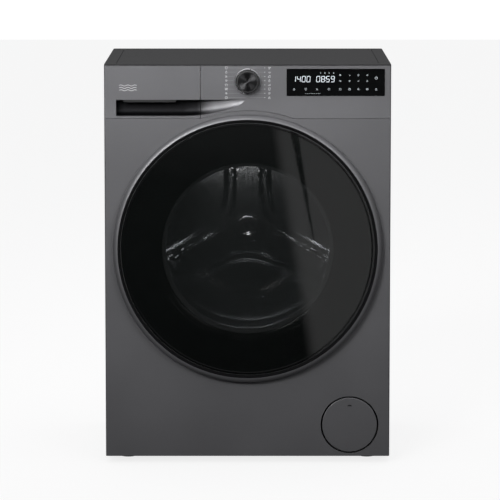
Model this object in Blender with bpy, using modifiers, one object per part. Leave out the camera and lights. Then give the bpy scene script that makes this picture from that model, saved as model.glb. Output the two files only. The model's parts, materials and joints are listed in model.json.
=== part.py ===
"""Front load washing machine: cabinet, door, suspended tub with its drum, drive, drawer and pump.

Metres, +Z up, +X to the right of someone who faces the machine, and -Y towards them.
The origin is on the floor, under the middle of the machine's bounding box.
A place is often given as a depth behind the front panel's face; what stands proud has a negative depth.
"""

import math

import bmesh
import bpy
from mathutils import Vector

# Overall sizes
WIDTH = 0.600
HEIGHT = 0.845
DEPTH = 0.500
DOOR_PROUD = 0.036
REAR_PROUD = 0.014
UNDERSIDE = 0.014

# Stock and fits
SHEET = 0.0012
WALL = 0.0025
GAP = 0.0003
SEAM = 0.0005
STEPS = 32
SMALL_STEPS = 16

# Cabinet and control fascia
SKIN_DEPTH = 0.020
FASCIA_HEIGHT = 0.1133
FASCIA_WALL = 0.0045
WORKTOP_LIP = 0.003
WORKTOP_BODY = 0.016
BOARD_MARGIN = 0.025
BOARD_THICKNESS = 0.0115
BOARD_LEDGE = 0.008
SIDE_FLANGE = 0.015
TRAY_HEIGHT = 0.026
DISPLAY_WIDTH = 0.2051
DISPLAY_HEIGHT = 0.0567
DISPLAY_INSET = 0.0133
DISPLAY_DROP = 0.0098
GLASS = 0.002

# Detergent drawer
DRAWER_WIDTH = 0.2013
HANDLE_TOP = 0.0745
HANDLE_BOTTOM = 0.1090
HANDLE_START = 0.025
HANDLE_DEPTH = 0.028
HANDLE_TIP = 0.105
BLOCK_DEPTH = 0.032
DISPENSER_LENGTH = 0.262
DISPENSER_DROP = 0.019
DISPENSER_HEIGHT = 0.082
DISPENSER_SIDE = 0.0185
DRAWER_RUN = 0.001
TRAY_DROP = 0.014

# Programme knob
KNOB_DROP = 0.036
KNOB_RADIUS = 0.024
KNOB_PROUD = 0.018
KNOB_SHAFT = 0.003
CAP_RADIUS = 0.0207
TRIM_WIDTH = 0.0022

# Door and its openings
DOOR_DROP = 0.387
DOOR_MARGIN = 0.017
RING_SECTION = 0.0115
RING_WALL = 0.002
HINGE_PROUD = 0.013
PIN_RADIUS = 0.003
BARREL_RADIUS = 0.0055
BARREL_LENGTH = 0.055
EAR_THICKNESS = 0.006
EAR_OVERHANG = 0.0035
EAR_REACH = 0.0165
EAR_LEG = 0.004
EAR_FRONT = 0.0045
EAR_BACK = 0.0012
BRACKET_START = 0.0095
BRACKET_END = 0.045
BRACKET_PROUD = 0.0025
BRACKET_MARGIN = 0.004
LEAF_FRONT = 0.0035
LEAF_BACK = 0.0038
LEAF_REACH = 0.040
COVER_EDGE_PROUD = 0.0225
COVER_THICKNESS = 0.003
BEZEL_RADIUS = 0.192
PANEL_HOLE_RADIUS = 0.202
MOUTH_RADIUS = 0.180
BOWL_RADIUS = 0.174
BOWL_DEPTH = 0.100
BOWL_THICKNESS = 0.004
HOOK_X = 0.236
HOOK_THICKNESS = 0.005
HOOK_HALF = 0.004
HOOK_PROUD = 0.0035
HOOK_REACH = 0.026
BARB_LENGTH = 0.010
BARB_DROP = 0.003
BARB_RISE = 0.009
LOCK_INWARD = 0.021
LOCK_OUTWARD = 0.026
LOCK_HALF = 0.045
LOCK_DEPTH = 0.036
LOCK_MOUTH = 0.006
LOCK_SLOT_DROP = 0.016
LOCK_SLOT_RISE = 0.018

# Tub, drum and drive
SIDE_ROOM = 0.038
TUB_WALL = 0.003
TUB_FACE = 0.054
NECK_LENGTH = 0.013
TUB_SPLIT = 0.2195
TUB_TO_REAR = 0.096
DRUM_ROOM = 0.020
DRUM_WALL = 0.0008
DRUM_FRONT_ROOM = 0.012
DRUM_BACK_ROOM = 0.047
LIFTER_HEIGHT = 0.048
LIFTER_WIDTH = 0.060
SHAFT_RADIUS = 0.015
BEARING_RADIUS = 0.026
BEARING_WIDTH = 0.015
HUB_INSIDE = 0.030
HUB_OUTSIDE = 0.034
PULLEY_RADIUS = 0.132
PULLEY_WIDTH = 0.016
PULLEY_ROOM = 0.008
MOTOR_PULLEY_RADIUS = 0.012
BELT_THICKNESS = 0.003
MOTOR_RADIUS = 0.052
MOTOR_LENGTH = 0.160
MOTOR_DROP = 0.340
TRAVEL_ROOM = 0.012

# Suspension
DAMPER_X = 0.150
DAMPER_DEPTH = 0.189
DAMPER_RADIUS = 0.017
DAMPER_HEIGHT = 0.105
ROD_RADIUS = 0.008
SPRING_X = 0.255
SPRING_DEPTH = 0.329
SPRING_RADIUS = 0.011
SPRING_WIRE = 0.0016
SPRING_TURNS = 7
SPRING_LUG_HEIGHT = 0.137
HANGER_DROP = 0.050
HANGER_HALF = 0.010
LUG = 0.006

# Drain pump and filter
FILTER_INSET = 0.0844
FILTER_HEIGHT = 0.0813
COVER_RADIUS = 0.058
COVER_GROOVE = 0.003
COVER_HINGE = 0.053
CAP_SEAT_RADIUS = 0.030
PUMP_RADIUS = 0.037
PUMP_DEPTH = 0.130
PUMP_MOUTH = 0.012
PUMP_END = 0.035
CAP_FACE = 0.010
CAP_BACK = 0.032
CAP_LIP = 0.003
CAP_GRIP = 0.024

# Feet
FOOT_RADIUS = 0.019
FOOT_PAD = 0.010
STUD_RADIUS = 0.005
FOOT_INSET = 0.045
FRONT_FOOT_DEPTH = 0.085
REAR_FOOT_DEPTH = 0.440

# Connections and heater
INLET_FROM_SIDE = 0.100
INLET_FROM_TOP = 0.055
THREAD_RADIUS = 0.0132
GLAND_FROM_SIDE = 0.080
GLAND_FROM_TOP = 0.085
GLAND_RADIUS = 0.010
DRAIN_FROM_SIDE = 0.085
DRAIN_Z = 0.100
DRAIN_RADIUS = 0.011
HEATER_HALF = 0.030

# Values that follow from those above
FRONT = DOOR_PROUD - (DEPTH + DOOR_PROUD + REAR_PROUD) / 2
SIDE = WIDTH / 2
TOP = HEIGHT - WORKTOP_LIP
FASCIA_BOTTOM = HEIGHT - FASCIA_HEIGHT
DOOR_Z = HEIGHT - DOOR_DROP
DOOR_RADIUS = SIDE - DOOR_MARGIN
RING_CENTRE = DOOR_RADIUS - RING_SECTION
ARCH_RADIUS = DOOR_RADIUS + 0.007
COVER_RIM = RING_CENTRE - 0.005
TUB_RADIUS = SIDE - SIDE_ROOM
TUB_BACK = DEPTH - TUB_TO_REAR
DRUM_RADIUS = TUB_RADIUS - DRUM_ROOM
DRUM_FRONT = TUB_FACE + DRUM_FRONT_ROOM
DRUM_BACK = TUB_BACK - DRUM_BACK_ROOM
PULLEY_FRONT = TUB_BACK + HUB_OUTSIDE + PULLEY_ROOM
MOTOR_Z = DOOR_Z - MOTOR_DROP
DRAWER_SEAM = DRAWER_WIDTH - SIDE
FILTER_X = SIDE - FILTER_INSET
SPLIT_FLOOR = UNDERSIDE + WALL
DISPLAY_X1 = SIDE - DISPLAY_INSET
DISPLAY_X0 = DISPLAY_X1 - DISPLAY_WIDTH
DISPLAY_Z1 = HEIGHT - DISPLAY_DROP
DISPLAY_Z0 = DISPLAY_Z1 - DISPLAY_HEIGHT
HOUSING_X0 = -SIDE + DISPENSER_SIDE
HOUSING_X1 = DRAWER_SEAM - 0.004
HOUSING_Z1 = HEIGHT - DISPENSER_DROP
HOUSING_Z0 = HOUSING_Z1 - DISPENSER_HEIGHT
INLET_X = -SIDE + INLET_FROM_SIDE
INLET_Z = HEIGHT - INLET_FROM_TOP
GLAND_X = SIDE - GLAND_FROM_SIDE
GLAND_Z = HEIGHT - GLAND_FROM_TOP
DRAIN_X = SIDE - DRAIN_FROM_SIDE
MOTOR_FRONT = TUB_BACK - MOTOR_LENGTH + 0.028
HEATER_Z = DOOR_Z - TUB_RADIUS + TUB_WALL + 0.0085
ROD_TOP = DOOR_Z - math.sqrt(TUB_RADIUS**2 - (DAMPER_X - 0.008) ** 2) - 0.012

ALONG_Y = (math.pi / 2, 0, 0)
UPRIGHT = (0, 0, 0)


def at(depth):
    """The y of a place this far behind the front panel's face."""
    return FRONT + depth


# ---------------------------------------------------------------- scene and materials


def clear_scene():
    for item in list(bpy.data.objects):
        bpy.data.objects.remove(item)


def new_collection(name):
    made = bpy.data.collections.new(name)
    bpy.context.scene.collection.children.link(made)
    return made


clear_scene()
PARTS = new_collection("front_load_washing_machine")
CUTTERS = new_collection("cutters")


def new_material(name, colour, roughness, metallic):
    made = bpy.data.materials.new(name)
    made.use_nodes = True
    shader = made.node_tree.nodes["Principled BSDF"]
    shader.inputs["Base Color"].default_value = (*colour, 1)
    shader.inputs["Roughness"].default_value = roughness
    shader.inputs["Metallic"].default_value = metallic
    return made


PAINT = new_material("graphite_paint", (0.13, 0.13, 0.14), 0.42, 0.75)
FASCIA = new_material("graphite_plastic", (0.14, 0.14, 0.15), 0.40, 0.60)
LID = new_material("worktop_grey", (0.06, 0.06, 0.062), 0.60, 0.0)
BLACK_GLOSS = new_material("black_gloss", (0.005, 0.005, 0.006), 0.06, 0.0)
BLACK_MATTE = new_material("black_matte", (0.015, 0.015, 0.016), 0.55, 0.0)
CHROME = new_material("chrome", (0.75, 0.75, 0.77), 0.10, 1.0)
STEEL = new_material("stainless_steel", (0.55, 0.56, 0.57), 0.25, 1.0)
ZINC = new_material("zinc_steel", (0.50, 0.51, 0.52), 0.40, 1.0)
ALUMINIUM = new_material("cast_aluminium", (0.60, 0.61, 0.62), 0.45, 1.0)
TUB_PLASTIC = new_material("tub_plastic", (0.30, 0.31, 0.32), 0.60, 0.0)
WHITE_PLASTIC = new_material("white_plastic", (0.70, 0.71, 0.72), 0.45, 0.0)
RUBBER = new_material("grey_rubber", (0.10, 0.10, 0.105), 0.75, 0.0)
CONCRETE = new_material("concrete", (0.42, 0.41, 0.39), 0.95, 0.0)
GLASS_CLEAR = new_material("clear_glass", (0.80, 0.83, 0.84), 0.03, 0.0)


# ---------------------------------------------------------------- shapes


def place(made, material):
    """Puts a finished solid among the parts, or a helper without a material among the cutters."""
    if material is None:
        CUTTERS.objects.link(made)
        made.hide_render = True
        made.display_type = "WIRE"
    else:
        PARTS.objects.link(made)
        made.data.materials.append(material)
    return made


def box(name, low, high, material=None):
    """A box between two corners, with its origin in its middle."""
    low = Vector(low)
    size = Vector(high) - low
    mesh = bpy.data.meshes.new(name)
    shape = bmesh.new()
    bmesh.ops.create_cube(shape, size=1)
    bmesh.ops.scale(shape, vec=size, verts=shape.verts)
    shape.to_mesh(mesh)
    shape.free()
    made = bpy.data.objects.new(name, mesh)
    made.location = low + size / 2
    return place(made, material)


def cylinder(name, centre, radius, length, turn, material=None, steps=SMALL_STEPS):
    """A cylinder about its centre; turn brings its own z axis to the wanted direction."""
    mesh = bpy.data.meshes.new(name)
    shape = bmesh.new()
    bmesh.ops.create_cone(
        shape, cap_ends=True, segments=steps, radius1=radius, radius2=radius, depth=length
    )
    shape.to_mesh(mesh)
    shape.free()
    made = bpy.data.objects.new(name, mesh)
    made.location = centre
    made.rotation_euler = turn
    return place(made, material)


def clockwise(points):
    """The points in the order that makes a turned shape face outwards."""
    area = sum(a[0] * b[1] - b[0] * a[1] for a, b in zip(points, points[1:] + points[:1]))
    return points if area < 0 else points[::-1]


def turned(name, profile, centre, material=None, turn=ALONG_Y, steps=STEPS):
    """Turns a profile of (radius, height) points about its own z axis, forwards when turn is ALONG_Y.

    A profile whose two ends lie on the axis is open there; any other closes on itself."""
    points = clockwise(list(profile))
    count = len(points)
    on_axis = points[0][0] == 0 and points[-1][0] == 0
    edges = [(i, (i + 1) % count) for i in range(count - 1 if on_axis else count)]
    mesh = bpy.data.meshes.new(name)
    mesh.from_pydata([(r, 0, h) for r, h in points], edges, [])
    made = bpy.data.objects.new(name, mesh)
    made.location = centre
    made.rotation_euler = turn
    place(made, material)
    screw = made.modifiers.new("Screw", "SCREW")
    screw.steps = steps
    screw.render_steps = steps
    screw.use_merge_vertices = True
    screw.merge_threshold = 0.0001
    screw.use_smooth_shade = True
    return made


def skin(points, thickness):
    """A closed profile of this thickness, to the left of the line through the points."""
    line = [Vector(p) for p in points]
    sides = []
    for a, b in zip(line, line[1:]):
        along = (b - a).normalized()
        sides.append(Vector((-along.y, along.x)))
    offset = []
    for i, point in enumerate(line):
        before = sides[max(i - 1, 0)]
        after = sides[min(i, len(sides) - 1)]
        mitre = (before + after) / (1 + before.dot(after))
        offset.append(point + mitre * thickness)
    if points[-1][0] == 0:
        offset[-1].x = 0
    return [tuple(p) for p in reversed(offset)] + [tuple(p) for p in line]


def plate(name, outlines, centre, thickness, turn, material=None):
    """A flat outline, with any further outlines as holes, given thickness about its centre."""
    curve = bpy.data.curves.new(name, "CURVE")
    curve.dimensions = "2D"
    curve.fill_mode = "BOTH"
    curve.extrude = thickness / 2
    for outline in outlines:
        spline = curve.splines.new("POLY")
        spline.points.add(len(outline) - 1)
        for point, (x, y) in zip(spline.points, outline):
            point.co = (x, y, 0, 1)
        spline.use_cyclic_u = True
    made = bpy.data.objects.new(name, curve)
    made.location = centre
    made.rotation_euler = turn
    return made_mesh(place(made, material))


def tube(name, points, radius, material=None, sides=2):
    """A round bar or hose along a line of points."""
    curve = bpy.data.curves.new(name, "CURVE")
    curve.dimensions = "3D"
    curve.bevel_depth = radius
    curve.bevel_resolution = sides
    curve.use_fill_caps = True
    spline = curve.splines.new("POLY")
    spline.points.add(len(points) - 1)
    for point, place_of in zip(spline.points, points):
        point.co = (*place_of, 1)
    return made_mesh(place(bpy.data.objects.new(name, curve), material))


def made_mesh(made):
    """The same object as a closed mesh, which a Boolean can take."""
    bpy.context.view_layer.update()
    graph = bpy.context.evaluated_depsgraph_get()
    mesh = bpy.data.meshes.new_from_object(made.evaluated_get(graph))
    shape = bmesh.new()
    shape.from_mesh(mesh)
    bmesh.ops.remove_doubles(shape, verts=shape.verts, dist=0.00001)
    shape.to_mesh(mesh)
    shape.free()
    name = made.name
    group = made.users_collection[0]
    hidden = made.hide_render
    matrix = made.matrix_world.copy()
    bpy.data.objects.remove(made)
    mesh.name = name
    swapped = bpy.data.objects.new(name, mesh)
    swapped.matrix_world = matrix
    swapped.hide_render = hidden
    swapped.display_type = "WIRE" if hidden else "TEXTURED"
    group.objects.link(swapped)
    return swapped


def combine(made, operation, others):
    for other in others:
        modifier = made.modifiers.new(operation.title(), "BOOLEAN")
        modifier.operation = operation
        modifier.solver = "EXACT"
        modifier.object = other
    return made


def cut(made, *others):
    return combine(made, "DIFFERENCE", others)


def join(made, *others):
    return combine(made, "UNION", others)


def circle(x, z, radius, steps=STEPS):
    return arc(x, z, radius, 0, 360 * (steps - 1) / steps, steps)


def arc(x, z, radius, start, end, count):
    """Points on a circle from one angle to another, both in degrees from +X."""
    angles = [math.radians(start + (end - start) * i / (count - 1)) for i in range(count)]
    return [(x + radius * math.cos(a), z + radius * math.sin(a)) for a in angles]


def rectangle(x0, z0, x1, z1):
    return [(x0, z0), (x1, z0), (x1, z1), (x0, z1)]


def around(radius, steps):
    """The radius of a faceted circle that clears a round one of the given radius."""
    return radius / math.cos(math.pi / steps)


# ---------------------------------------------------------------- cabinet


def make_side_panels():
    """Two L-shaped sheets that stand behind the front panel and the fascia."""
    start = at(SKIN_DEPTH + SEAM)
    outline = [
        (0, start),
        (SIDE_FLANGE, start),
        (SIDE_FLANGE, start + SHEET),
        (SHEET, start + SHEET),
        (SHEET, at(DEPTH)),
        (0, at(DEPTH)),
    ]
    low = UNDERSIDE + SEAM
    high = TOP - GAP
    hanger_z = HEIGHT - HANGER_DROP
    for side, name in ((-1, "left"), (1, "right")):
        points = [(side * (SIDE - x), y) for x, y in outline]
        panel = plate(
            "side_panel_" + name, [points], (0, 0, (low + high) / 2), high - low, UPRIGHT, PAINT
        )
        x0, x1 = sorted((side * (SIDE - SHEET / 2), side * (SPRING_X - HANGER_HALF)))
        hanger = box(
            "spring_hanger_" + name,
            (x0, at(SPRING_DEPTH) - HANGER_HALF, hanger_z),
            (x1, at(SPRING_DEPTH) + HANGER_HALF, hanger_z + LUG),
        )
        join(panel, hanger)


def make_rear_panel():
    """A flat sheet with the service opening and a hole for each connection."""
    edge = SIDE - SHEET - GAP
    outline = rectangle(-edge, UNDERSIDE + SEAM, edge, TOP - GAP)
    holes = [
        circle(0, DOOR_Z, PULLEY_RADIUS + 0.018),
        circle(INLET_X, INLET_Z, THREAD_RADIUS + 0.001, SMALL_STEPS),
        circle(GLAND_X, GLAND_Z, GLAND_RADIUS + 0.0005, SMALL_STEPS),
        circle(DRAIN_X, DRAIN_Z, DRAIN_RADIUS + 0.0005, SMALL_STEPS),
    ]
    centre = (0, at(DEPTH - SHEET / 2), 0)
    plate("rear_panel", [outline] + holes, centre, SHEET, ALONG_Y, PAINT)


def make_rear_cover():
    """A shallow dish that closes the service opening behind the drum pulley."""
    rim = PULLEY_RADIUS + 0.033
    neck = PULLEY_RADIUS + 0.012
    line = [(rim, -GAP - SHEET), (neck + 0.006, -GAP - SHEET), (neck, -0.010), (0, -0.010)]
    centre = (0, at(DEPTH), DOOR_Z)
    turned("rear_cover", skin(line, -SHEET), centre, PAINT)


def make_worktop():
    """A moulded frame with a thin front lip, and the board that lies in it."""
    inner_front = at(SKIN_DEPTH + 0.005)
    skirt_side = SIDE - SHEET - 0.001
    inset = BOARD_MARGIN
    low = HEIGHT - WORKTOP_BODY
    board_low = (-SIDE + inset, at(inset), HEIGHT - BOARD_THICKNESS - SEAM)
    board_high = (SIDE - inset, at(DEPTH - inset), HEIGHT - SEAM)
    frame = box("worktop_frame", (-SIDE, at(0), TOP), (SIDE, at(DEPTH), HEIGHT), LID)
    skirt = box(
        "worktop_skirt",
        (-skirt_side, inner_front, low),
        (skirt_side, at(DEPTH - SHEET - 0.001), TOP + WORKTOP_LIP / 2),
    )
    pocket = box(
        "board_pocket",
        (board_low[0] - GAP, board_low[1] - GAP, board_low[2] - GAP),
        (board_high[0] + GAP, board_high[1] + GAP, HEIGHT + 0.01),
    )
    window = box(
        "board_window",
        (board_low[0] + BOARD_LEDGE, board_low[1] + BOARD_LEDGE, low - 0.01),
        (board_high[0] - BOARD_LEDGE, board_high[1] - BOARD_LEDGE, HEIGHT),
    )
    join(frame, skirt)
    cut(frame, pocket, window)
    box("worktop_board", board_low, board_high, LID)


def make_base_tray():
    """A plastic tray under the works, with a hole for each foot's stud."""
    side = SIDE - SHEET - 0.001
    low = (-side, at(SHEET + 0.001), UNDERSIDE)
    high = (side, at(DEPTH - SHEET - 0.001), UNDERSIDE + TRAY_HEIGHT)
    tray = box("base_tray", low, high, BLACK_MATTE)
    inside = box(
        "tray_inside",
        (low[0] + WALL, low[1] + WALL, SPLIT_FLOOR),
        (high[0] - WALL, high[1] - WALL, high[2] + 0.01),
    )
    cut(tray, inside)
    for index, (x, y) in enumerate(foot_places()):
        hole = cylinder(
            f"foot_hole_{index}", (x, y, UNDERSIDE), STUD_RADIUS + 2 * GAP, 0.04, UPRIGHT
        )
        cut(tray, hole)
    cut(tray, filter_opening("tray_filter_access", 0.024))
    for side, name in ((-1, "left"), (1, "right")):
        slot = box(
            "flange_slot_" + name,
            (min(side * SIDE, side * (SIDE - SIDE_FLANGE - 2 * GAP)), at(SKIN_DEPTH), 0),
            (
                max(side * SIDE, side * (SIDE - SIDE_FLANGE - 2 * GAP)),
                at(SKIN_DEPTH + SEAM + SHEET + GAP),
                high[2] + 0.01,
            ),
        )
        cut(tray, slot)


def filter_opening(name, length):
    """A round cutter on the filter cover's axis, with the cover's groove round it."""
    return cylinder(
        name,
        (FILTER_X, at(0), FILTER_HEIGHT),
        COVER_RADIUS + COVER_GROOVE,
        length,
        ALONG_Y,
        steps=STEPS,
    )


def foot_places():
    x = SIDE - FOOT_INSET
    front = at(FRONT_FOOT_DEPTH)
    rear = at(REAR_FOOT_DEPTH)
    return [(-x, front), (x, front), (-x, rear), (x, rear)]


def make_feet():
    """Rubber-shod screw feet, each on its own vertical axis."""
    top = UNDERSIDE - GAP
    profile = [
        (0, 0),
        (FOOT_RADIUS - 0.002, 0),
        (FOOT_RADIUS, 0.002),
        (FOOT_RADIUS, FOOT_PAD),
        (FOOT_RADIUS * 0.6, top),
        (STUD_RADIUS, top),
        (STUD_RADIUS, SPLIT_FLOOR + 0.012),
        (0, SPLIT_FLOOR + 0.012),
    ]
    names = ("foot_front_left", "foot_front_right", "foot_rear_left", "foot_rear_right")
    for name, (x, y) in zip(names, foot_places()):
        turned(name, profile, (x, y, 0), BLACK_MATTE, UPRIGHT, SMALL_STEPS)


def panel_outline(inset, low):
    """The front panel's outline, whose top edge arches over the door."""
    edge = FASCIA_BOTTOM - SEAM - inset
    radius = ARCH_RADIUS - SEAM - inset
    half = math.degrees(math.asin((edge - DOOR_Z) / radius))
    side = SIDE - inset
    arch = arc(0, DOOR_Z, radius, half, 180 - half, 17)
    return [(-side, low), (side, low), (side, edge)] + arch + [(-side, edge)]


def make_front_panel():
    """A pressed sheet with turned-back sides, holes for the door and the filter, and the lock's slot."""
    middle = at(SKIN_DEPTH / 2)
    low = UNDERSIDE + SEAM
    panel = plate(
        "front_panel", [panel_outline(0, low)], (0, middle, 0), SKIN_DEPTH, ALONG_Y, PAINT
    )
    hollow = plate(
        "panel_hollow",
        [panel_outline(SHEET, low - 0.01)],
        (0, middle + SHEET, 0),
        SKIN_DEPTH,
        ALONG_Y,
    )
    hole = cylinder(
        "door_hole", (0, at(0), DOOR_Z), PANEL_HOLE_RADIUS, 0.03, ALONG_Y, steps=STEPS
    )
    slot = box(
        "hook_slot",
        (HOOK_X - 0.006, at(-0.01), DOOR_Z - 0.018),
        (HOOK_X + 0.006, at(0.01), DOOR_Z + 0.018),
    )
    cut(panel, hollow, hole, filter_opening("filter_hole", 0.03), slot)


def fascia_outline(inset, left):
    """The fascia's outline, whose lower edge arches over the door."""
    edge = FASCIA_BOTTOM + inset
    radius = ARCH_RADIUS + inset
    half = math.degrees(math.asin((edge - DOOR_Z) / radius))
    side = SIDE - inset
    high = TOP - GAP - inset
    start = max(half, math.degrees(math.acos(min(1, -left / radius))))
    arch = arc(0, DOOR_Z, radius, 180 - start, half, 17)
    foot = [(left, edge)] if start == half else []
    return [(left, high)] + foot + arch + [(side, edge), (side, high)]


def make_scoop(name, left, right):
    """The hollow behind the drawer's lip, which runs on into the fascia and fades out there."""
    high = HEIGHT - HANDLE_TOP
    low = HEIGHT - HANDLE_BOTTOM
    tip = DRAWER_SEAM + HANDLE_TIP
    bend = DRAWER_SEAM - 0.015
    sweep = []
    for i in range(9):
        share = i / 8
        x = bend + (tip - bend) * share
        sweep.append((x, low + (high - low) * share**1.6 * 0.97))
    outline = [(-SIDE + HANDLE_START, low)] + sweep + [(tip, high), (-SIDE + HANDLE_START, high)]
    scoop = plate(name, [outline], (0, at(HANDLE_DEPTH / 2 - 0.01), 0), HANDLE_DEPTH + 0.02, ALONG_Y)
    ramp = [
        (left, at(-0.02)),
        (right, at(-0.02)),
        (max(left, min(right, tip)), at(-0.001)),
        (max(left, bend), at(HANDLE_DEPTH)),
        (left, at(HANDLE_DEPTH)),
    ]
    if right < tip:
        share = (tip - right) / (tip - bend)
        ramp[2] = (right, at(HANDLE_DEPTH * share))
    wedge = plate(name + "_ramp", [ramp], (0, 0, (low + high) / 2), 0.06, UPRIGHT)
    combine(scoop, "INTERSECT", [wedge])
    return scoop


def make_fascia():
    """The control fascia right of the drawer, hollow behind, with the end of the handle's scoop."""
    left = DRAWER_SEAM + SEAM
    fascia = plate(
        "control_fascia",
        [fascia_outline(0, left)],
        (0, at(SKIN_DEPTH / 2), 0),
        SKIN_DEPTH,
        ALONG_Y,
        FASCIA,
    )
    hollow_left = DRAWER_SEAM + HANDLE_TIP + 0.004
    hollow = plate(
        "fascia_hollow",
        [fascia_outline(WALL, hollow_left)],
        (0, at(FASCIA_WALL + SKIN_DEPTH / 2), 0),
        SKIN_DEPTH,
        ALONG_Y,
    )
    over = box(
        "fascia_hollow_left",
        (left + WALL, at(FASCIA_WALL), HEIGHT - HANDLE_TOP + 0.004),
        (hollow_left + 0.001, at(SKIN_DEPTH + 0.02), TOP - GAP - WALL),
    )
    block = box(
        "scoop_block",
        (left, at(SKIN_DEPTH - 0.004), ARCH_RADIUS + DOOR_Z - 0.008),
        (DRAWER_SEAM + 0.055, at(BLOCK_DEPTH), HEIGHT - HANDLE_TOP + 0.003),
    )
    low_block = box(
        "scoop_block_low",
        (left, at(SKIN_DEPTH - 0.004), FASCIA_BOTTOM + 0.006),
        (DRAWER_SEAM + 0.026, at(BLOCK_DEPTH), ARCH_RADIUS + DOOR_Z - 0.007),
    )
    display = box(
        "display_pocket",
        (DISPLAY_X0 - GAP, at(-0.01), DISPLAY_Z0 - GAP),
        (DISPLAY_X1 + GAP, at(GLASS + GAP), DISPLAY_Z1 + GAP),
    )
    shaft_hole = cylinder(
        "knob_shaft_hole", (0, at(0), HEIGHT - KNOB_DROP), KNOB_SHAFT + 2 * GAP, 0.03, ALONG_Y
    )
    arch_room = cylinder(
        "fascia_arch_room",
        (0, at(SKIN_DEPTH + 0.010), DOOR_Z),
        around(ARCH_RADIUS + GAP, 4 * STEPS),
        0.028,
        ALONG_Y,
        steps=4 * STEPS,
    )
    join(fascia, block, low_block)
    cut(fascia, arch_room, hollow, over, make_scoop("fascia_scoop", left - 0.01, SIDE), display, shaft_hole)
    box(
        "display_glass",
        (DISPLAY_X0, at(0), DISPLAY_Z0),
        (DISPLAY_X1, at(GLASS), DISPLAY_Z1),
        BLACK_GLOSS,
    )


# ---------------------------------------------------------------- detergent drawer


def make_dispenser():
    """The box that the drawer slides into, open at the front."""
    low = (HOUSING_X0, at(BLOCK_DEPTH + GAP), HOUSING_Z0)
    high = (HOUSING_X1, at(BLOCK_DEPTH + DISPENSER_LENGTH), HOUSING_Z1)
    housing = box("dispenser_housing", low, high, WHITE_PLASTIC)
    inside = box(
        "dispenser_inside",
        (low[0] + WALL, low[1] - 0.01, low[2] + WALL),
        (high[0] - WALL, high[1] - WALL, high[2] - WALL),
    )
    cut(housing, inside)


def make_drawer():
    """The drawer's front with its handle, the tray with three compartments, and the siphon insert."""
    right = DRAWER_SEAM - SEAM
    front = box(
        "drawer_front",
        (-SIDE, at(0), FASCIA_BOTTOM),
        (right, at(SKIN_DEPTH), TOP - GAP),
        FASCIA,
    )
    block = box(
        "drawer_block",
        (-SIDE + HANDLE_START - 0.003, at(SKIN_DEPTH - 0.002), HEIGHT - HANDLE_BOTTOM - 0.003),
        (right, at(BLOCK_DEPTH), HEIGHT - HANDLE_TOP + 0.003),
    )
    hollow = box(
        "drawer_front_hollow",
        (-SIDE + WALL, at(WALL), HEIGHT - HANDLE_TOP + 0.004),
        (right - WALL, at(BLOCK_DEPTH + 0.01), TOP - GAP - WALL),
    )
    join(front, block)
    cut(front, hollow, make_scoop("drawer_scoop", -SIDE, DRAWER_SEAM + 0.01))

    x0 = HOUSING_X0 + WALL + DRAWER_RUN
    x1 = HOUSING_X1 - WALL - DRAWER_RUN
    y0 = at(BLOCK_DEPTH + GAP)
    y1 = at(BLOCK_DEPTH + DISPENSER_LENGTH - WALL - 0.004)
    z0 = HOUSING_Z0 + WALL + DRAWER_RUN
    z1 = HOUSING_Z1 - WALL - TRAY_DROP
    tray = box("drawer_tray", (x0, y0, z0), (x1, y1, z1), WHITE_PLASTIC)
    middle = x0 + 0.62 * (x1 - x0)
    split = y0 + 0.45 * (y1 - y0)
    pockets = (
        ("main_wash", x0 + WALL, split + WALL, x1 - WALL, y1 - WALL),
        ("prewash", x0 + WALL, y0 + WALL, middle - WALL / 2, split),
        ("softener", middle + WALL / 2, y0 + WALL, x1 - WALL, split),
    )
    for name, px0, py0, px1, py1 in pockets:
        cut(tray, box(name + "_pocket", (px0, py0, z0 + WALL), (px1, py1, z1 + 0.01)))

    lid = box(
        "siphon_insert",
        (middle + WALL / 2 + GAP, y0 + WALL + GAP, z1 - 0.006),
        (x1 - WALL - GAP, split - GAP, z1 - 0.003),
        BLACK_MATTE,
    )
    stem_x = (middle + x1) / 2
    stem_y = split - 0.020
    stem = cylinder(
        "siphon_stem", (stem_x, stem_y, z1 - 0.022), 0.006, 0.036, UPRIGHT, steps=SMALL_STEPS
    )
    join(lid, stem)


# ---------------------------------------------------------------- programme knob


def make_knob():
    """A black knob with a brushed cap let into its face, inside a bright ring."""
    centre = (0, at(0), HEIGHT - KNOB_DROP)
    face = KNOB_PROUD
    seat = face - 0.0012
    body = [
        (0, seat),
        (CAP_RADIUS + GAP, seat),
        (CAP_RADIUS + GAP, face),
        (KNOB_RADIUS - 0.0015, face),
        (KNOB_RADIUS, face - 0.0015),
        (KNOB_RADIUS, 0.001),
        (KNOB_SHAFT, 0.001),
        (KNOB_SHAFT, -0.014),
        (0, -0.014),
    ]
    turned("program_knob", body, centre, BLACK_MATTE, steps=STEPS)
    cap = [(0, face), (CAP_RADIUS, face), (CAP_RADIUS, seat + GAP), (0, seat + GAP)]
    turned("knob_cap", cap, centre, STEEL, steps=STEPS)
    inner = KNOB_RADIUS + 2 * GAP
    ring = rectangle(inner, GAP, inner + TRIM_WIDTH, 0.0035)
    turned("knob_trim_ring", ring, centre, CHROME, steps=STEPS)


# ---------------------------------------------------------------- door


def cover_height(radius, below=0):
    """How far the domed cover stands proud at this radius."""
    rise = DOOR_PROUD - COVER_EDGE_PROUD
    return DOOR_PROUD - rise * (radius / COVER_RIM) ** 2 - below


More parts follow.
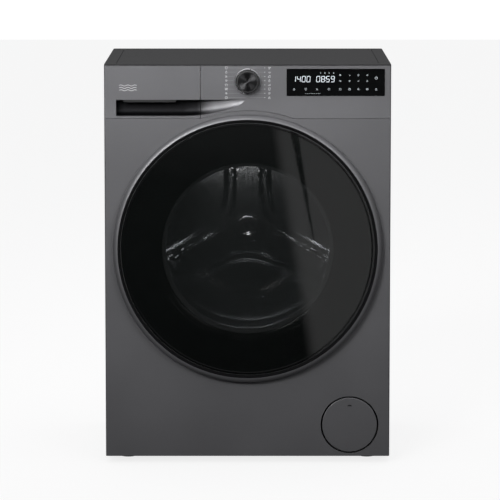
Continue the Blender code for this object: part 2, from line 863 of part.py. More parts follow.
def make_door():
    """The painted ring, the domed smoked cover, the black frame and the glass bowl."""
    centre = (0, at(0), DOOR_Z)
    angles = [math.radians(a) for a in range(-25, 116, 20)]
    ring = [
        (RING_CENTRE + RING_SECTION * math.cos(a), HINGE_PROUD + RING_SECTION * math.sin(a))
        for a in angles
    ]
    turned("door_ring", skin(ring, RING_WALL), centre, PAINT)

    radii = [COVER_RIM * (1 - i / 5) for i in range(6)]
    dome = [(r, cover_height(r)) for r in radii]
    turned("door_cover", skin(dome, COVER_THICKNESS), centre, BLACK_GLOSS)

    outer = COVER_RIM - 0.004
    base = 0.0055
    floor = 0.0085
    bezel = BEZEL_RADIUS + 0.003
    frame_profile = [
        (outer, base),
        (outer, cover_height(outer, COVER_THICKNESS + 0.001)),
        (outer - WALL, cover_height(outer, COVER_THICKNESS + 0.001)),
        (outer - WALL, floor),
        (bezel, floor),
        (bezel, cover_height(bezel, COVER_THICKNESS + 0.001)),
        (BEZEL_RADIUS, cover_height(bezel, COVER_THICKNESS + 0.001)),
        (BEZEL_RADIUS - 0.012, base),
    ]
    frame = turned("door_frame", frame_profile, centre, BLACK_GLOSS)
    notch = box(
        "hinge_notch",
        (-DOOR_RADIUS, at(-0.05), DOOR_Z - BARREL_LENGTH / 2 - EAR_THICKNESS - 0.010),
        (-RING_CENTRE + 0.0255, at(0.01), DOOR_Z + BARREL_LENGTH / 2 + EAR_THICKNESS + 0.010),
    )
    cut(frame, notch)

    flange = BOWL_RADIUS + 0.010
    line = [
        (flange, 0.001),
        (BOWL_RADIUS, 0.001),
        (BOWL_RADIUS - 0.006, -0.008),
        (BOWL_RADIUS - 0.022, -0.5 * BOWL_DEPTH),
        (BOWL_RADIUS - 0.044, -0.85 * BOWL_DEPTH),
        (BOWL_RADIUS - 0.062, -0.95 * BOWL_DEPTH),
        (BOWL_RADIUS - 0.110, -0.99 * BOWL_DEPTH),
        (0, -BOWL_DEPTH),
    ]
    turned("door_bowl", skin(line, -BOWL_THICKNESS), centre, GLASS_CLEAR)


def make_hinge():
    """A bracket with the pin on the front panel, and the leaf whose barrel turns on that pin."""
    x = -RING_CENTRE
    y = at(-HINGE_PROUD)
    half = BARREL_LENGTH / 2 + SEAM
    ear_top = half + EAR_THICKNESS
    bracket = box(
        "hinge_bracket",
        (x + BRACKET_START, at(-BRACKET_PROUD), DOOR_Z - ear_top - BRACKET_MARGIN),
        (x + BRACKET_END, at(-GAP), DOOR_Z + ear_top + BRACKET_MARGIN),
        ZINC,
    )
    pin = cylinder("hinge_pin", (x, y, DOOR_Z), PIN_RADIUS, 2 * ear_top, UPRIGHT)
    join(bracket, pin)
    for side, name in ((-1, "low"), (1, "high")):
        z0, z1 = sorted((DOOR_Z + side * half, DOOR_Z + side * ear_top))
        arm = box(
            "ear_arm_" + name,
            (x - EAR_OVERHANG, y - EAR_FRONT, z0),
            (x + EAR_REACH, y - EAR_BACK, z1),
        )
        leg = box(
            "ear_leg_" + name,
            (x + EAR_REACH - EAR_LEG, y - EAR_FRONT + SEAM, z0),
            (x + EAR_REACH, at(-SHEET + GAP), z1),
        )
        join(bracket, arm, leg)

    low = DOOR_Z - BARREL_LENGTH / 2
    high = DOOR_Z + BARREL_LENGTH / 2
    leaf = cylinder("hinge_leaf", (x, y, DOOR_Z), BARREL_RADIUS, BARREL_LENGTH, UPRIGHT, ZINC)
    flap = box("leaf_flap", (x + 0.001, y - LEAF_FRONT, low), (x + LEAF_REACH, y + LEAF_BACK, high))
    bore = cylinder("pin_bore", (x, y, DOOR_Z), PIN_RADIUS + 2 * GAP, 0.1, UPRIGHT)
    join(leaf, flap)
    cut(leaf, bore)


def make_lock():
    """The sprung hook on the door and the lock behind the front panel."""
    hook = box(
        "door_hook",
        (HOOK_X - HOOK_THICKNESS / 2, at(-HOOK_PROUD), DOOR_Z - HOOK_HALF),
        (HOOK_X + HOOK_THICKNESS / 2, at(HOOK_REACH), DOOR_Z + HOOK_HALF),
        ZINC,
    )
    barb = box(
        "hook_barb",
        (HOOK_X - HOOK_THICKNESS / 2, at(HOOK_REACH - BARB_LENGTH), DOOR_Z - BARB_DROP),
        (HOOK_X + HOOK_THICKNESS / 2, at(HOOK_REACH - SEAM), DOOR_Z + BARB_RISE),
    )
    join(hook, barb)
    lock = box(
        "door_lock",
        (HOOK_X - LOCK_INWARD, at(SHEET + GAP), DOOR_Z - LOCK_HALF),
        (HOOK_X + LOCK_OUTWARD, at(LOCK_DEPTH), DOOR_Z + LOCK_HALF),
        BLACK_MATTE,
    )
    mouth = box(
        "lock_mouth",
        (HOOK_X - LOCK_MOUTH, at(-0.01), DOOR_Z - LOCK_SLOT_DROP),
        (HOOK_X + LOCK_MOUTH, at(LOCK_DEPTH - 0.004), DOOR_Z + LOCK_SLOT_RISE),
    )
    cut(lock, mouth)


# ---------------------------------------------------------------- tub and suspension


def tub_surface_z(x, radius):
    """The height below the tub's axis at which a circle of this radius passes x."""
    return DOOR_Z - math.sqrt(radius**2 - x**2)


def make_tub():
    """The two halves of the tub, with the lugs that hold springs, dampers and motor."""
    centre = (0, at(0), DOOR_Z)
    inner = TUB_RADIUS - TUB_WALL
    middle = TUB_RADIUS - TUB_WALL / 2
    neck = TUB_FACE - NECK_LENGTH
    front_profile = [
        (TUB_RADIUS, -(TUB_SPLIT - GAP)),
        (TUB_RADIUS, -TUB_FACE),
        (MOUTH_RADIUS + TUB_WALL, -TUB_FACE),
        (MOUTH_RADIUS + TUB_WALL, -neck),
        (MOUTH_RADIUS, -neck),
        (MOUTH_RADIUS, -(TUB_FACE + TUB_WALL)),
        (inner, -(TUB_FACE + TUB_WALL)),
        (inner, -(TUB_SPLIT - GAP)),
    ]
    front = turned("tub_front", front_profile, centre, TUB_PLASTIC)
    hub = BEARING_RADIUS + 0.008
    bore = around(BEARING_RADIUS + GAP, SMALL_STEPS)
    hub_front = -(TUB_BACK - HUB_INSIDE)
    hub_back = -(TUB_BACK + HUB_OUTSIDE)
    rear_profile = [
        (TUB_RADIUS, -TUB_SPLIT),
        (TUB_RADIUS, -TUB_BACK),
        (hub, -TUB_BACK),
        (hub, hub_back),
        (bore, hub_back),
        (bore, hub_front),
        (hub, hub_front),
        (hub, -(TUB_BACK - TUB_WALL)),
        (inner, -(TUB_BACK - TUB_WALL)),
        (inner, -TUB_SPLIT),
    ]
    rear = turned("tub_rear", rear_profile, centre, TUB_PLASTIC)
    for side, name in ((-1, "left"), (1, "right")):
        x = side * DAMPER_X
        lug_top = tub_surface_z(DAMPER_X - 0.008, middle)
        damper_lug = box(
            "damper_lug_" + name,
            (x - 0.008, at(DAMPER_DEPTH - 0.010), ROD_TOP + GAP),
            (x + 0.008, at(DAMPER_DEPTH + 0.010), lug_top),
        )
        join(front, damper_lug)
        lug_z = DOOR_Z + SPRING_LUG_HEIGHT
        lug_x = math.sqrt(middle**2 - (SPRING_LUG_HEIGHT - LUG) ** 2)
        x0, x1 = sorted((side * lug_x, side * (SPRING_X + 0.010)))
        spring_lug = box(
            "spring_lug_" + name,
            (x0, at(SPRING_DEPTH - 0.010), lug_z - LUG),
            (x1, at(SPRING_DEPTH + 0.010), lug_z),
        )
        motor_lug = box(
            "motor_lug_" + name,
            (side * 0.040 - 0.004, at(MOTOR_FRONT + 0.030), MOTOR_Z + 0.042),
            (side * 0.040 + 0.004, at(TUB_BACK - 0.010), tub_surface_z(0.036, middle)),
        )
        join(rear, spring_lug, motor_lug)
    heater_hole = box(
        "heater_hole",
        (-HEATER_HALF - GAP, at(TUB_BACK - 0.010), HEATER_Z - 0.006 - GAP),
        (HEATER_HALF + GAP, at(TUB_BACK + 0.010), HEATER_Z + 0.006 + GAP),
    )
    cut(rear, heater_hole, motor_clearance())


def motor_clearance():
    """The space that the motor needs between the tub's two hanging lugs."""
    return cylinder(
        "motor_space",
        (0, at(MOTOR_FRONT + MOTOR_LENGTH / 2), MOTOR_Z),
        around(MOTOR_RADIUS + GAP, STEPS),
        MOTOR_LENGTH + 0.002,
        ALONG_Y,
        steps=STEPS,
    )


def make_heater():
    """A U-shaped element in the space under the drum, on a plug in the tub's rear wall."""
    plug = box(
        "heater",
        (-HEATER_HALF, at(TUB_BACK - TUB_WALL - 0.002), HEATER_Z - 0.006),
        (HEATER_HALF, at(TUB_BACK + 0.008), HEATER_Z + 0.006),
        ZINC,
    )
    reach = TUB_SPLIT - 0.060
    bend = arc(0, 0, HEATER_HALF - 0.008, 180, 360, 9)
    route = [(-(HEATER_HALF - 0.008), at(TUB_BACK), HEATER_Z)]
    route += [(x, at(reach) + z, HEATER_Z) for x, z in bend]
    route += [(HEATER_HALF - 0.008, at(TUB_BACK), HEATER_Z)]
    join(plug, tube("heater_rod", route, 0.0035))


def make_counterweights():
    """A block on top of the tub and a crescent below its mouth."""
    block = box(
        "counterweight_top",
        (-0.085, at(0.080), DOOR_Z + 0.232),
        (0.125, at(TUB_SPLIT - 0.010), TOP - WORKTOP_BODY - 0.050),
        CONCRETE,
    )
    saddle = cylinder(
        "tub_saddle",
        (0, at(TUB_SPLIT), DOOR_Z),
        around(TUB_RADIUS + GAP, STEPS),
        2 * TUB_SPLIT,
        ALONG_Y,
        steps=STEPS,
    )
    cut(block, saddle)
    outer = arc(0, DOOR_Z, TUB_RADIUS - 0.012, 205, 335, 17)
    inner = arc(0, DOOR_Z, PANEL_HOLE_RADIUS + 0.006, 335, 205, 17)
    centre = (0, at(TUB_FACE - GAP - 0.011), 0)
    plate("counterweight_front", [outer + inner], centre, 0.022, ALONG_Y, CONCRETE)


def make_springs():
    """Two coil springs that hang the tub from the side panels."""
    low = DOOR_Z + SPRING_LUG_HEIGHT + GAP + SPRING_WIRE
    high = HEIGHT - HANGER_DROP - GAP - SPRING_WIRE
    per_turn = 6
    count = SPRING_TURNS * per_turn
    for side, name in ((-1, "left"), (1, "right")):
        points = []
        for i in range(count + 1):
            angle = 2 * math.pi * i / per_turn
            x = side * SPRING_X + SPRING_RADIUS * math.cos(angle)
            y = at(SPRING_DEPTH) + SPRING_RADIUS * math.sin(angle)
            points.append((x, y, low + (high - low) * i / count))
        tube("spring_" + name, points, SPRING_WIRE, ZINC, sides=0)


def make_dampers():
    """Friction dampers: a cylinder on the base tray and a rod under the tub."""
    low = SPLIT_FLOOR + GAP
    high = low + DAMPER_HEIGHT
    bore = ROD_RADIUS + 0.001
    cup = [
        (0, low),
        (DAMPER_RADIUS, low),
        (DAMPER_RADIUS, high),
        (bore, high),
        (bore, low + 0.015),
        (0, low + 0.015),
    ]
    rod_low = low + 0.015 + 2 * TRAVEL_ROOM
    rod = [(0, rod_low), (ROD_RADIUS, rod_low), (ROD_RADIUS, ROD_TOP), (0, ROD_TOP)]
    for side, name in ((-1, "left"), (1, "right")):
        centre = (side * DAMPER_X, at(DAMPER_DEPTH), 0)
        turned("damper_cylinder_" + name, cup, centre, BLACK_MATTE, UPRIGHT, SMALL_STEPS)
        turned("damper_rod_" + name, rod, centre, ZINC, UPRIGHT, SMALL_STEPS)


def make_gasket():
    """The folded rubber seal between the front panel's hole and the tub's neck."""
    lip = BOWL_RADIUS - 0.002
    wide = PANEL_HOLE_RADIUS - 0.003
    neck = MOUTH_RADIUS + TUB_WALL + GAP
    line = [
        (lip, -0.010),
        (wide - 0.007, -0.005),
        (wide, -0.010),
        (wide, -0.021),
        (neck + 0.003, -0.026),
        (wide, -0.032),
        (neck + 0.002, -0.038),
        (neck, -0.042),
        (neck, -TUB_FACE + 0.0005),
    ]
    turned("gasket", skin(line, 0.002), (0, at(0), DOOR_Z), RUBBER)


# ---------------------------------------------------------------- drum and drive


def make_drum():
    """The drum's shell, its three lifters, and the spider whose shaft runs in the bearings."""
    centre = (0, at(0), DOOR_Z)
    mouth = MOUTH_RADIUS - 0.002
    line = [
        (mouth, -DRUM_FRONT - 0.008),
        (mouth, -DRUM_FRONT),
        (DRUM_RADIUS - 0.016, -DRUM_FRONT),
        (DRUM_RADIUS, -DRUM_FRONT - 0.014),
        (DRUM_RADIUS, -DRUM_BACK + 0.008),
        (DRUM_RADIUS - 0.008, -DRUM_BACK),
        (0, -DRUM_BACK),
    ]
    turned("drum_shell", skin(line, -DRUM_WALL), centre, STEEL)

    start = DRUM_FRONT + 0.018
    end = DRUM_BACK - 0.010
    seat = (DRUM_RADIUS - DRUM_WALL) * math.cos(math.pi / STEPS) - GAP
    spread = math.degrees(math.asin(LIFTER_WIDTH / 2 / seat))
    crest = seat - LIFTER_HEIGHT
    for index, angle in enumerate((90, 210, 330)):
        base = arc(0, DOOR_Z, seat, angle - spread, angle + spread, 5)
        tip = arc(0, DOOR_Z, crest, angle + spread * 0.35, angle - spread * 0.35, 3)
        middle = (0, at((start + end) / 2), 0)
        plate(f"lifter_{index + 1}", [base + tip], middle, end - start, ALONG_Y, WHITE_PLASTIC)

    hub_front = -(DRUM_BACK + GAP)
    hub_back = -(TUB_BACK - HUB_INSIDE - GAP)
    shaft_end = -(PULLEY_FRONT + PULLEY_WIDTH + 0.004)
    hub = [
        (0, hub_front),
        (0.034, hub_front),
        (0.034, hub_back),
        (SHAFT_RADIUS, hub_back),
        (SHAFT_RADIUS, shaft_end),
        (0, shaft_end),
    ]
    spider = turned("drum_spider", hub, centre, ALUMINIUM, steps=SMALL_STEPS)
    reach = DRUM_RADIUS - 0.010
    for index, angle in enumerate((30, 150, 270)):
        arm = box("spider_arm_" + str(index), (0.010, -0.006, -0.013), (reach, 0.006, 0.013))
        mid = (0.010 + reach) / 2
        turn = math.radians(angle)
        arm.rotation_euler = (0, -turn, 0)
        depth = DRUM_BACK + GAP + 0.0075
        arm.location = (mid * math.cos(turn), at(depth), DOOR_Z + mid * math.sin(turn))
        join(spider, arm)


def make_bearings():
    """The two ball bearings, as plain rings in the tub's hub."""
    inner = around(SHAFT_RADIUS + GAP, SMALL_STEPS)
    places = (
        ("bearing_front", TUB_BACK - HUB_INSIDE + 0.001),
        ("bearing_rear", TUB_BACK + HUB_OUTSIDE - BEARING_WIDTH - 0.001),
    )
    for name, depth in places:
        ring = rectangle(inner, -depth - BEARING_WIDTH, BEARING_RADIUS, -depth)
        turned(name, ring, (0, at(0), DOOR_Z), STEEL, steps=SMALL_STEPS)


def make_drive():
    """The drum's pulley, the motor with its own pulley, and the belt."""
    centre = (0, at(0), DOOR_Z)
    bore = around(SHAFT_RADIUS + GAP, SMALL_STEPS)
    near = -PULLEY_FRONT
    far = near - PULLEY_WIDTH
    wheel = [
        (bore, near),
        (0.028, near),
        (0.028, near - 0.005),
        (PULLEY_RADIUS - 0.006, near - 0.005),
        (PULLEY_RADIUS - 0.006, near),
        (PULLEY_RADIUS, near),
        (PULLEY_RADIUS, far),
        (PULLEY_RADIUS - 0.006, far),
        (PULLEY_RADIUS - 0.006, near - 0.009),
        (0.028, near - 0.009),
        (0.028, far),
        (bore, far),
    ]
    turned("drum_pulley", wheel, centre, ALUMINIUM)

    motor_centre = (0, at(0), MOTOR_Z)
    back = -(MOTOR_FRONT + MOTOR_LENGTH)
    body = [
        (0, -MOTOR_FRONT),
        (MOTOR_RADIUS - 0.006, -MOTOR_FRONT),
        (MOTOR_RADIUS, -MOTOR_FRONT - 0.006),
        (MOTOR_RADIUS, back + 0.006),
        (MOTOR_RADIUS - 0.006, back),
        (0.006 + GAP, back),
        (0.006 + GAP, back + 0.020),
        (0, back + 0.020),
    ]
    turned("motor", body, motor_centre, ALUMINIUM)
    shaft = [
        (0, back + 0.018),
        (0.006, back + 0.018),
        (0.006, near),
        (MOTOR_PULLEY_RADIUS, near),
        (MOTOR_PULLEY_RADIUS, far),
        (0, far),
    ]
    turned("motor_pulley", shaft, motor_centre, ZINC, steps=SMALL_STEPS)
    big = around(PULLEY_RADIUS + GAP, STEPS)
    small = around(MOTOR_PULLEY_RADIUS + GAP, SMALL_STEPS)
    loops = [belt_loop(big + BELT_THICKNESS, small + BELT_THICKNESS), belt_loop(big, small)]
    middle = (0, at(PULLEY_FRONT + PULLEY_WIDTH / 2), 0)
    plate("drive_belt", loops, middle, PULLEY_WIDTH - 0.004, ALONG_Y, RUBBER)


def belt_loop(big, small):
    """The line round both pulleys, with its straight runs tangent to them."""
    lean = math.degrees(math.asin((big - small) / (DOOR_Z - MOTOR_Z)))
    upper = arc(0, DOOR_Z, big, -lean, 180 + lean, 41)
    lower = arc(0, MOTOR_Z, small, 180 + lean, 360 - lean, 13)
    return upper + lower


# ---------------------------------------------------------------- water, power and control


def make_pump():
    """The drain pump with its filter cap and impeller, and the round cover in the front panel."""
    centre = (FILTER_X, at(0), FILTER_HEIGHT)
    seat = around(CAP_SEAT_RADIUS + GAP, STEPS)
    chamber = PUMP_DEPTH - PUMP_END
    cup = [
        (0, -chamber),
        (seat, -chamber),
        (seat, -PUMP_MOUTH),
        (PUMP_RADIUS, -PUMP_MOUTH),
        (PUMP_RADIUS, -PUMP_DEPTH),
        (0, -PUMP_DEPTH),
    ]
    housing = turned("pump_housing", cup, centre, WHITE_PLASTIC)
    stand = box(
        "pump_stand",
        (FILTER_X - 0.020, at(0.050), SPLIT_FLOOR + GAP),
        (FILTER_X + 0.020, at(PUMP_DEPTH - 0.010), FILTER_HEIGHT - PUMP_RADIUS + 0.003),
    )
    join(housing, stand)

    cap = [
        (0, -CAP_FACE),
        (CAP_SEAT_RADIUS + CAP_LIP, -CAP_FACE),
        (CAP_SEAT_RADIUS + CAP_LIP, -PUMP_MOUTH + GAP),
        (CAP_SEAT_RADIUS, -PUMP_MOUTH + GAP),
        (CAP_SEAT_RADIUS, -CAP_BACK),
        (0, -CAP_BACK),
    ]
    plug = turned("filter_cap", cap, centre, BLACK_MATTE)
    grip = box(
        "cap_grip",
        (FILTER_X - CAP_GRIP, at(0.0045), FILTER_HEIGHT - 0.005),
        (FILTER_X + CAP_GRIP, at(PUMP_MOUTH), FILTER_HEIGHT + 0.005),
    )
    join(plug, grip)

    front = chamber - 0.020
    wheel = [(0, -front), (0.008, -front), (0.008, -front - 0.014), (0, -front - 0.014)]
    impeller = turned("pump_impeller", wheel, centre, BLACK_MATTE, steps=SMALL_STEPS)
    for index in range(4):
        blade = box("blade_" + str(index), (0.004, -0.006, -0.0015), (0.024, 0.006, 0.0015))
        turn = math.pi / 2 * index
        blade.rotation_euler = (0, -turn, 0)
        x = FILTER_X + 0.014 * math.cos(turn)
        z = FILTER_HEIGHT + 0.014 * math.sin(turn)
        blade.location = (x, at(front + 0.007), z)
        join(impeller, blade)

    disc = [(0, -SEAM), (COVER_RADIUS, -SEAM), (COVER_RADIUS, -SEAM - WALL), (0, -SEAM - WALL)]
    cover = turned("filter_cover", disc, centre, PAINT)
    notch = box(
        "pry_notch",
        (FILTER_X - 0.0045, at(-0.01), FILTER_HEIGHT + COVER_RADIUS - 0.022),
        (FILTER_X + 0.0045, at(SEAM + 0.0015), FILTER_HEIGHT + COVER_RADIUS - 0.014),
    )
    for side, name in ((-1, "left"), (1, "right")):
        x = FILTER_X + side * 0.012
        low = FILTER_HEIGHT - COVER_HINGE
        lug = box(
            "cover_lug_" + name,
            (x - 0.004, at(SEAM + WALL / 2), low - 0.004),
            (x + 0.004, at(0.0075), low + 0.004),
        )
        join(cover, lug)
    cut(cover, notch)


def make_connections():
    """What shows at the back, and what it serves inside."""
    inside = at(DEPTH - SHEET - GAP)
    valve = box(
        "inlet_valve",
        (INLET_X - 0.025, at(DEPTH - 0.056), INLET_Z - 0.022),
        (INLET_X + 0.025, inside, INLET_Z + 0.022),
        WHITE_PLASTIC,
    )
    stub = cylinder(
        "inlet_thread",
        (INLET_X, at(DEPTH + REAR_PROUD - 0.010), INLET_Z),
        THREAD_RADIUS,
        0.020,
        ALONG_Y,
    )
    bore = cylinder(
        "inlet_bore", (INLET_X, at(DEPTH + REAR_PROUD), INLET_Z), 0.008, 0.040, ALONG_Y
    )
    join(valve, stub)
    cut(valve, bore)

    gland = [
        (0, -DEPTH - 0.012),
        (GLAND_RADIUS - 0.002, -DEPTH - 0.012),
        (GLAND_RADIUS - 0.001, -DEPTH - 0.003),
        (GLAND_RADIUS + 0.004, -DEPTH - 0.003),
        (GLAND_RADIUS + 0.004, -DEPTH - GAP),
        (GLAND_RADIUS, -DEPTH - GAP),
        (GLAND_RADIUS, -DEPTH + 0.012),
        (0, -DEPTH + 0.012),
    ]
    turned("mains_gland", gland, (GLAND_X, at(0), GLAND_Z), BLACK_MATTE, steps=SMALL_STEPS)

    spigot = [
        (DRAIN_RADIUS - 0.0025, -DEPTH - 0.0135),
        (DRAIN_RADIUS, -DEPTH - 0.0135),
        (DRAIN_RADIUS, -DEPTH - 0.003),
        (DRAIN_RADIUS + 0.006, -DEPTH - 0.003),
        (DRAIN_RADIUS + 0.006, -DEPTH - GAP),
        (DRAIN_RADIUS, -DEPTH - GAP),
        (DRAIN_RADIUS, -DEPTH + 0.030),
        (DRAIN_RADIUS - 0.0025, -DEPTH + 0.030),
    ]
    turned("drain_outlet", spigot, (DRAIN_X, at(0), DRAIN_Z), BLACK_MATTE, steps=SMALL_STEPS)

    box(
        "control_module",
        (SIDE - 0.160, at(0.270), TOP - WORKTOP_BODY - 0.095),
        (SIDE - 0.065, at(0.400), TOP - WORKTOP_BODY - 0.030),
        WHITE_PLASTIC,
    )


def main():
    make_side_panels()
    make_rear_panel()
    make_rear_cover()
    make_worktop()
    make_base_tray()
    make_feet()
    make_front_panel()
    make_fascia()
    make_dispenser()
    make_drawer()
    make_knob()
    make_door()
    make_hinge()
    make_lock()
    make_tub()
    make_heater()
    make_counterweights()
    make_springs()
    make_dampers()
    make_gasket()
    make_drum()
    make_bearings()
    make_drive()
    make_pump()
    make_connections()


main()
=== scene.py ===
"""The looks of a front load washing machine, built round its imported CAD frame.

Metres, +Z up, -Y towards whoever faces the machine. Meshes hold places at rest, and objects sit at the origin.
"""

import functools
import json
from math import acos, asin, atan2, cos, degrees, exp, log, pi, radians, sin, sqrt

import bmesh
import bpy
from mathutils import Matrix, Vector, geometry


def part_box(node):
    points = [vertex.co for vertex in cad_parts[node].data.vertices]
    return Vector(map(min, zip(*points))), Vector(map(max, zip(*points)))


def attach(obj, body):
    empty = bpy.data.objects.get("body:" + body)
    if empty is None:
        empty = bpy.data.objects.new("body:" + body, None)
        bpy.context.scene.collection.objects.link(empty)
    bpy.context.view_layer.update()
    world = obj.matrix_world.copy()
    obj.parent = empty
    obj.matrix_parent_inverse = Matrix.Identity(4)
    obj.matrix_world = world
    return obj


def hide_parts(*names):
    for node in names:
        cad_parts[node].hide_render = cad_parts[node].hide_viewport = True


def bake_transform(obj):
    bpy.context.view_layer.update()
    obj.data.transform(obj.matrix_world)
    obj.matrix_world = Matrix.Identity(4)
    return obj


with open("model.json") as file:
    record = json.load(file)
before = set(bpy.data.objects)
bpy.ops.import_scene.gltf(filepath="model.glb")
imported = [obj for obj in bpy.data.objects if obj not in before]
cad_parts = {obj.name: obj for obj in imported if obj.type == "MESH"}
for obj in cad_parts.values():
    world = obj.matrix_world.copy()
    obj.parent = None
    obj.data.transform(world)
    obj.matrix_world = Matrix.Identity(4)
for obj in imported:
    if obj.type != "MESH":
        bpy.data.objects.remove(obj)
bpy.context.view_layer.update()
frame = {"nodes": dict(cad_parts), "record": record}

# Places and sizes that the frame gives
PANEL_LOW, PANEL_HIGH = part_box("front_panel")
DRAWER_LOW, DRAWER_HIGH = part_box("drawer_front")
FASCIA_LOW, FASCIA_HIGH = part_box("control_fascia")
RING_LOW, RING_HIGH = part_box("door_ring")
COVER_LOW, COVER_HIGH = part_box("door_cover")
BEZEL_LOW, BEZEL_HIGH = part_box("door_frame")
BOWL_LOW, BOWL_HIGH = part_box("door_bowl")
KNOB_LOW, KNOB_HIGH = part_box("program_knob")
GLASS_LOW, GLASS_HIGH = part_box("display_glass")
DRUM_LOW, DRUM_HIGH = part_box("drum_shell")
FILTER_LOW, FILTER_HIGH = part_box("filter_cover")
FRONT = PANEL_LOW.y
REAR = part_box("rear_panel")[1].y
SIDE = PANEL_HIGH.x
TOP = FASCIA_HIGH.z
FASCIA_BOTTOM = DRAWER_LOW.z
SEAM = 0.0005
DOOR = Vector((0, 0, (RING_LOW.z + RING_HIGH.z) / 2))
RING_OUTER = RING_HIGH.x
COVER_RIM = COVER_HIGH.x
ARCH_RADIUS = RING_OUTER + 0.007
PANEL_HOLE = 0.202
DRUM_RADIUS = DRUM_HIGH.x
DRUM_MOUTH = 0.178
KNOB = Vector((0, 0, (KNOB_LOW.z + KNOB_HIGH.z) / 2))
FILTER_RADIUS = (FILTER_HIGH.x - FILTER_LOW.x) / 2
FILTER = Vector(((FILTER_LOW.x + FILTER_HIGH.x) / 2, 0, FILTER_HIGH.z - FILTER_RADIUS))

# Sizes of the looks
SHEET = 0.0012
SIDE_ROUND = 0.0035
EDGE_ROUND = 0.0009
CREASE = FASCIA_BOTTOM + 0.0385
CREASE_DEPTH = 0.0009
HANDLE_LOW = 0.736
HANDLE_HIGH = 0.7705
HANDLE_LEFT = -0.275
HANDLE_BEND = -0.135
HANDLE_TIP = 0.006
HANDLE_DEPTH = 0.0275
PRINT = 0.00008
FASCIA_COLOUR = (0.168, 0.168, 0.177)


# ---- materials


def node(tree, kind, **settings):
    """A new shader node. A setting with a capital letter is an input, named with _ in place of each space."""
    made = tree.nodes.new(kind)
    for name, value in settings.items():
        if name[0].isupper():
            made.inputs[name.replace("_", " ")].default_value = value
        else:
            setattr(made, name, value)
    return made


def wire(*ends):
    """Links nodes. Each row is (node, output, node, input), with names or numbers."""
    for source, output, target, entry in ends:
        source.id_data.links.new(source.outputs[output], target.inputs[entry])


def calculate(tree, operation, *values):
    """The output of a math node, whose values are numbers or other outputs."""
    made = node(tree, "ShaderNodeMath", operation=operation)
    for index, value in enumerate(values):
        if isinstance(value, (int, float)):
            made.inputs[index].default_value = value
        else:
            tree.links.new(value, made.inputs[index])
    return made.outputs[0]


def emptied(made):
    """The node tree of a material or world, with nothing in it."""
    made.use_nodes = True
    made.node_tree.nodes.clear()
    return made.node_tree


def recolour(made, factor, colour):
    """Another colour takes over a finish's base colour by a factor."""
    tree = made.node_tree
    base = tree.nodes["Principled BSDF"].inputs["Base Color"]
    mix = node(tree, "ShaderNodeMix", data_type="RGBA")
    first, second = [socket for socket in mix.inputs if socket.type == "RGBA"]
    tree.links.new(factor, mix.inputs["Factor"])
    tree.links.new(base.links[0].from_socket, first)
    second.default_value = (*colour, 1)
    tree.links.new([socket for socket in mix.outputs if socket.type == "RGBA"][0], base)


def finish(
    name, colour, roughness, metallic=0.0, spread=0.06, grain=900, bump=0.02, stretch=(1, 1, 1), rough_spread=0.05
):
    """A surface whose colour and gloss vary with fine and broad noise, and whose grain stands a little proud."""
    made = bpy.data.materials.new(name)
    made.use_nodes = True
    tree = made.node_tree
    shader = tree.nodes["Principled BSDF"]
    shader.inputs["Metallic"].default_value = metallic
    place = node(tree, "ShaderNodeTexCoord")
    scale = node(tree, "ShaderNodeMapping", Scale=stretch)
    fine = node(tree, "ShaderNodeTexNoise", Scale=grain, Detail=3)
    broad = node(tree, "ShaderNodeTexNoise", Scale=7, Detail=4)
    share = calculate(tree, "MULTIPLY", broad.outputs["Fac"], 0.35)
    both = calculate(tree, "MULTIPLY_ADD", fine.outputs["Fac"], 0.65, share)
    ramp = node(tree, "ShaderNodeValToRGB")
    for stop, position, sign in zip(ramp.color_ramp.elements, (0.3, 0.7), (-1, 1)):
        stop.position = position
        stop.color = (*[min(1, c * (1 + sign * spread)) for c in colour], 1)
    low = max(0.0, roughness - rough_spread)
    high = min(1.0, roughness + rough_spread)
    gloss = node(tree, "ShaderNodeMapRange", From_Min=0.3, From_Max=0.7, To_Min=low, To_Max=high)
    tree.links.new(both, ramp.inputs["Fac"])
    tree.links.new(both, gloss.inputs["Value"])
    wire((place, "Object", scale, "Vector"), (scale, "Vector", fine, "Vector"), (place, "Object", broad, "Vector"))
    wire((ramp, "Color", shader, "Base Color"), (gloss, "Result", shader, "Roughness"))
    if bump:
        relief = node(tree, "ShaderNodeBump", Strength=1.0, Distance=bump / 1000)
        wire((fine, "Fac", relief, "Height"), (relief, "Normal", shader, "Normal"))
    return made


def set_inputs(material, **values):
    shader = material.node_tree.nodes["Principled BSDF"]
    for name, value in values.items():
        shader.inputs[name.replace("_", " ")].default_value = value
    return material


def glowing(name, colour, strength):
    """A lit segment or symbol behind glass, a little uneven as such lamps are."""
    made = finish(name, [c * 0.5 for c in colour], 0.4, spread=0.08, grain=1500, bump=0)
    return set_inputs(made, Emission_Color=(*colour, 1), Emission_Strength=strength)


def spun_steel():
    """Turned metal, whose fine rings draw the light out into two fans."""
    made = finish("spun_steel", (0.075, 0.075, 0.078), 0.28, 1.0, spread=0.10, grain=1200, bump=0.004)
    tree = made.node_tree
    tangent = node(tree, "ShaderNodeTangent", direction_type="RADIAL", axis="Y")
    wire((tangent, "Tangent", tree.nodes["Principled BSDF"], "Tangent"))
    return set_inputs(made, Anisotropic=0.85)


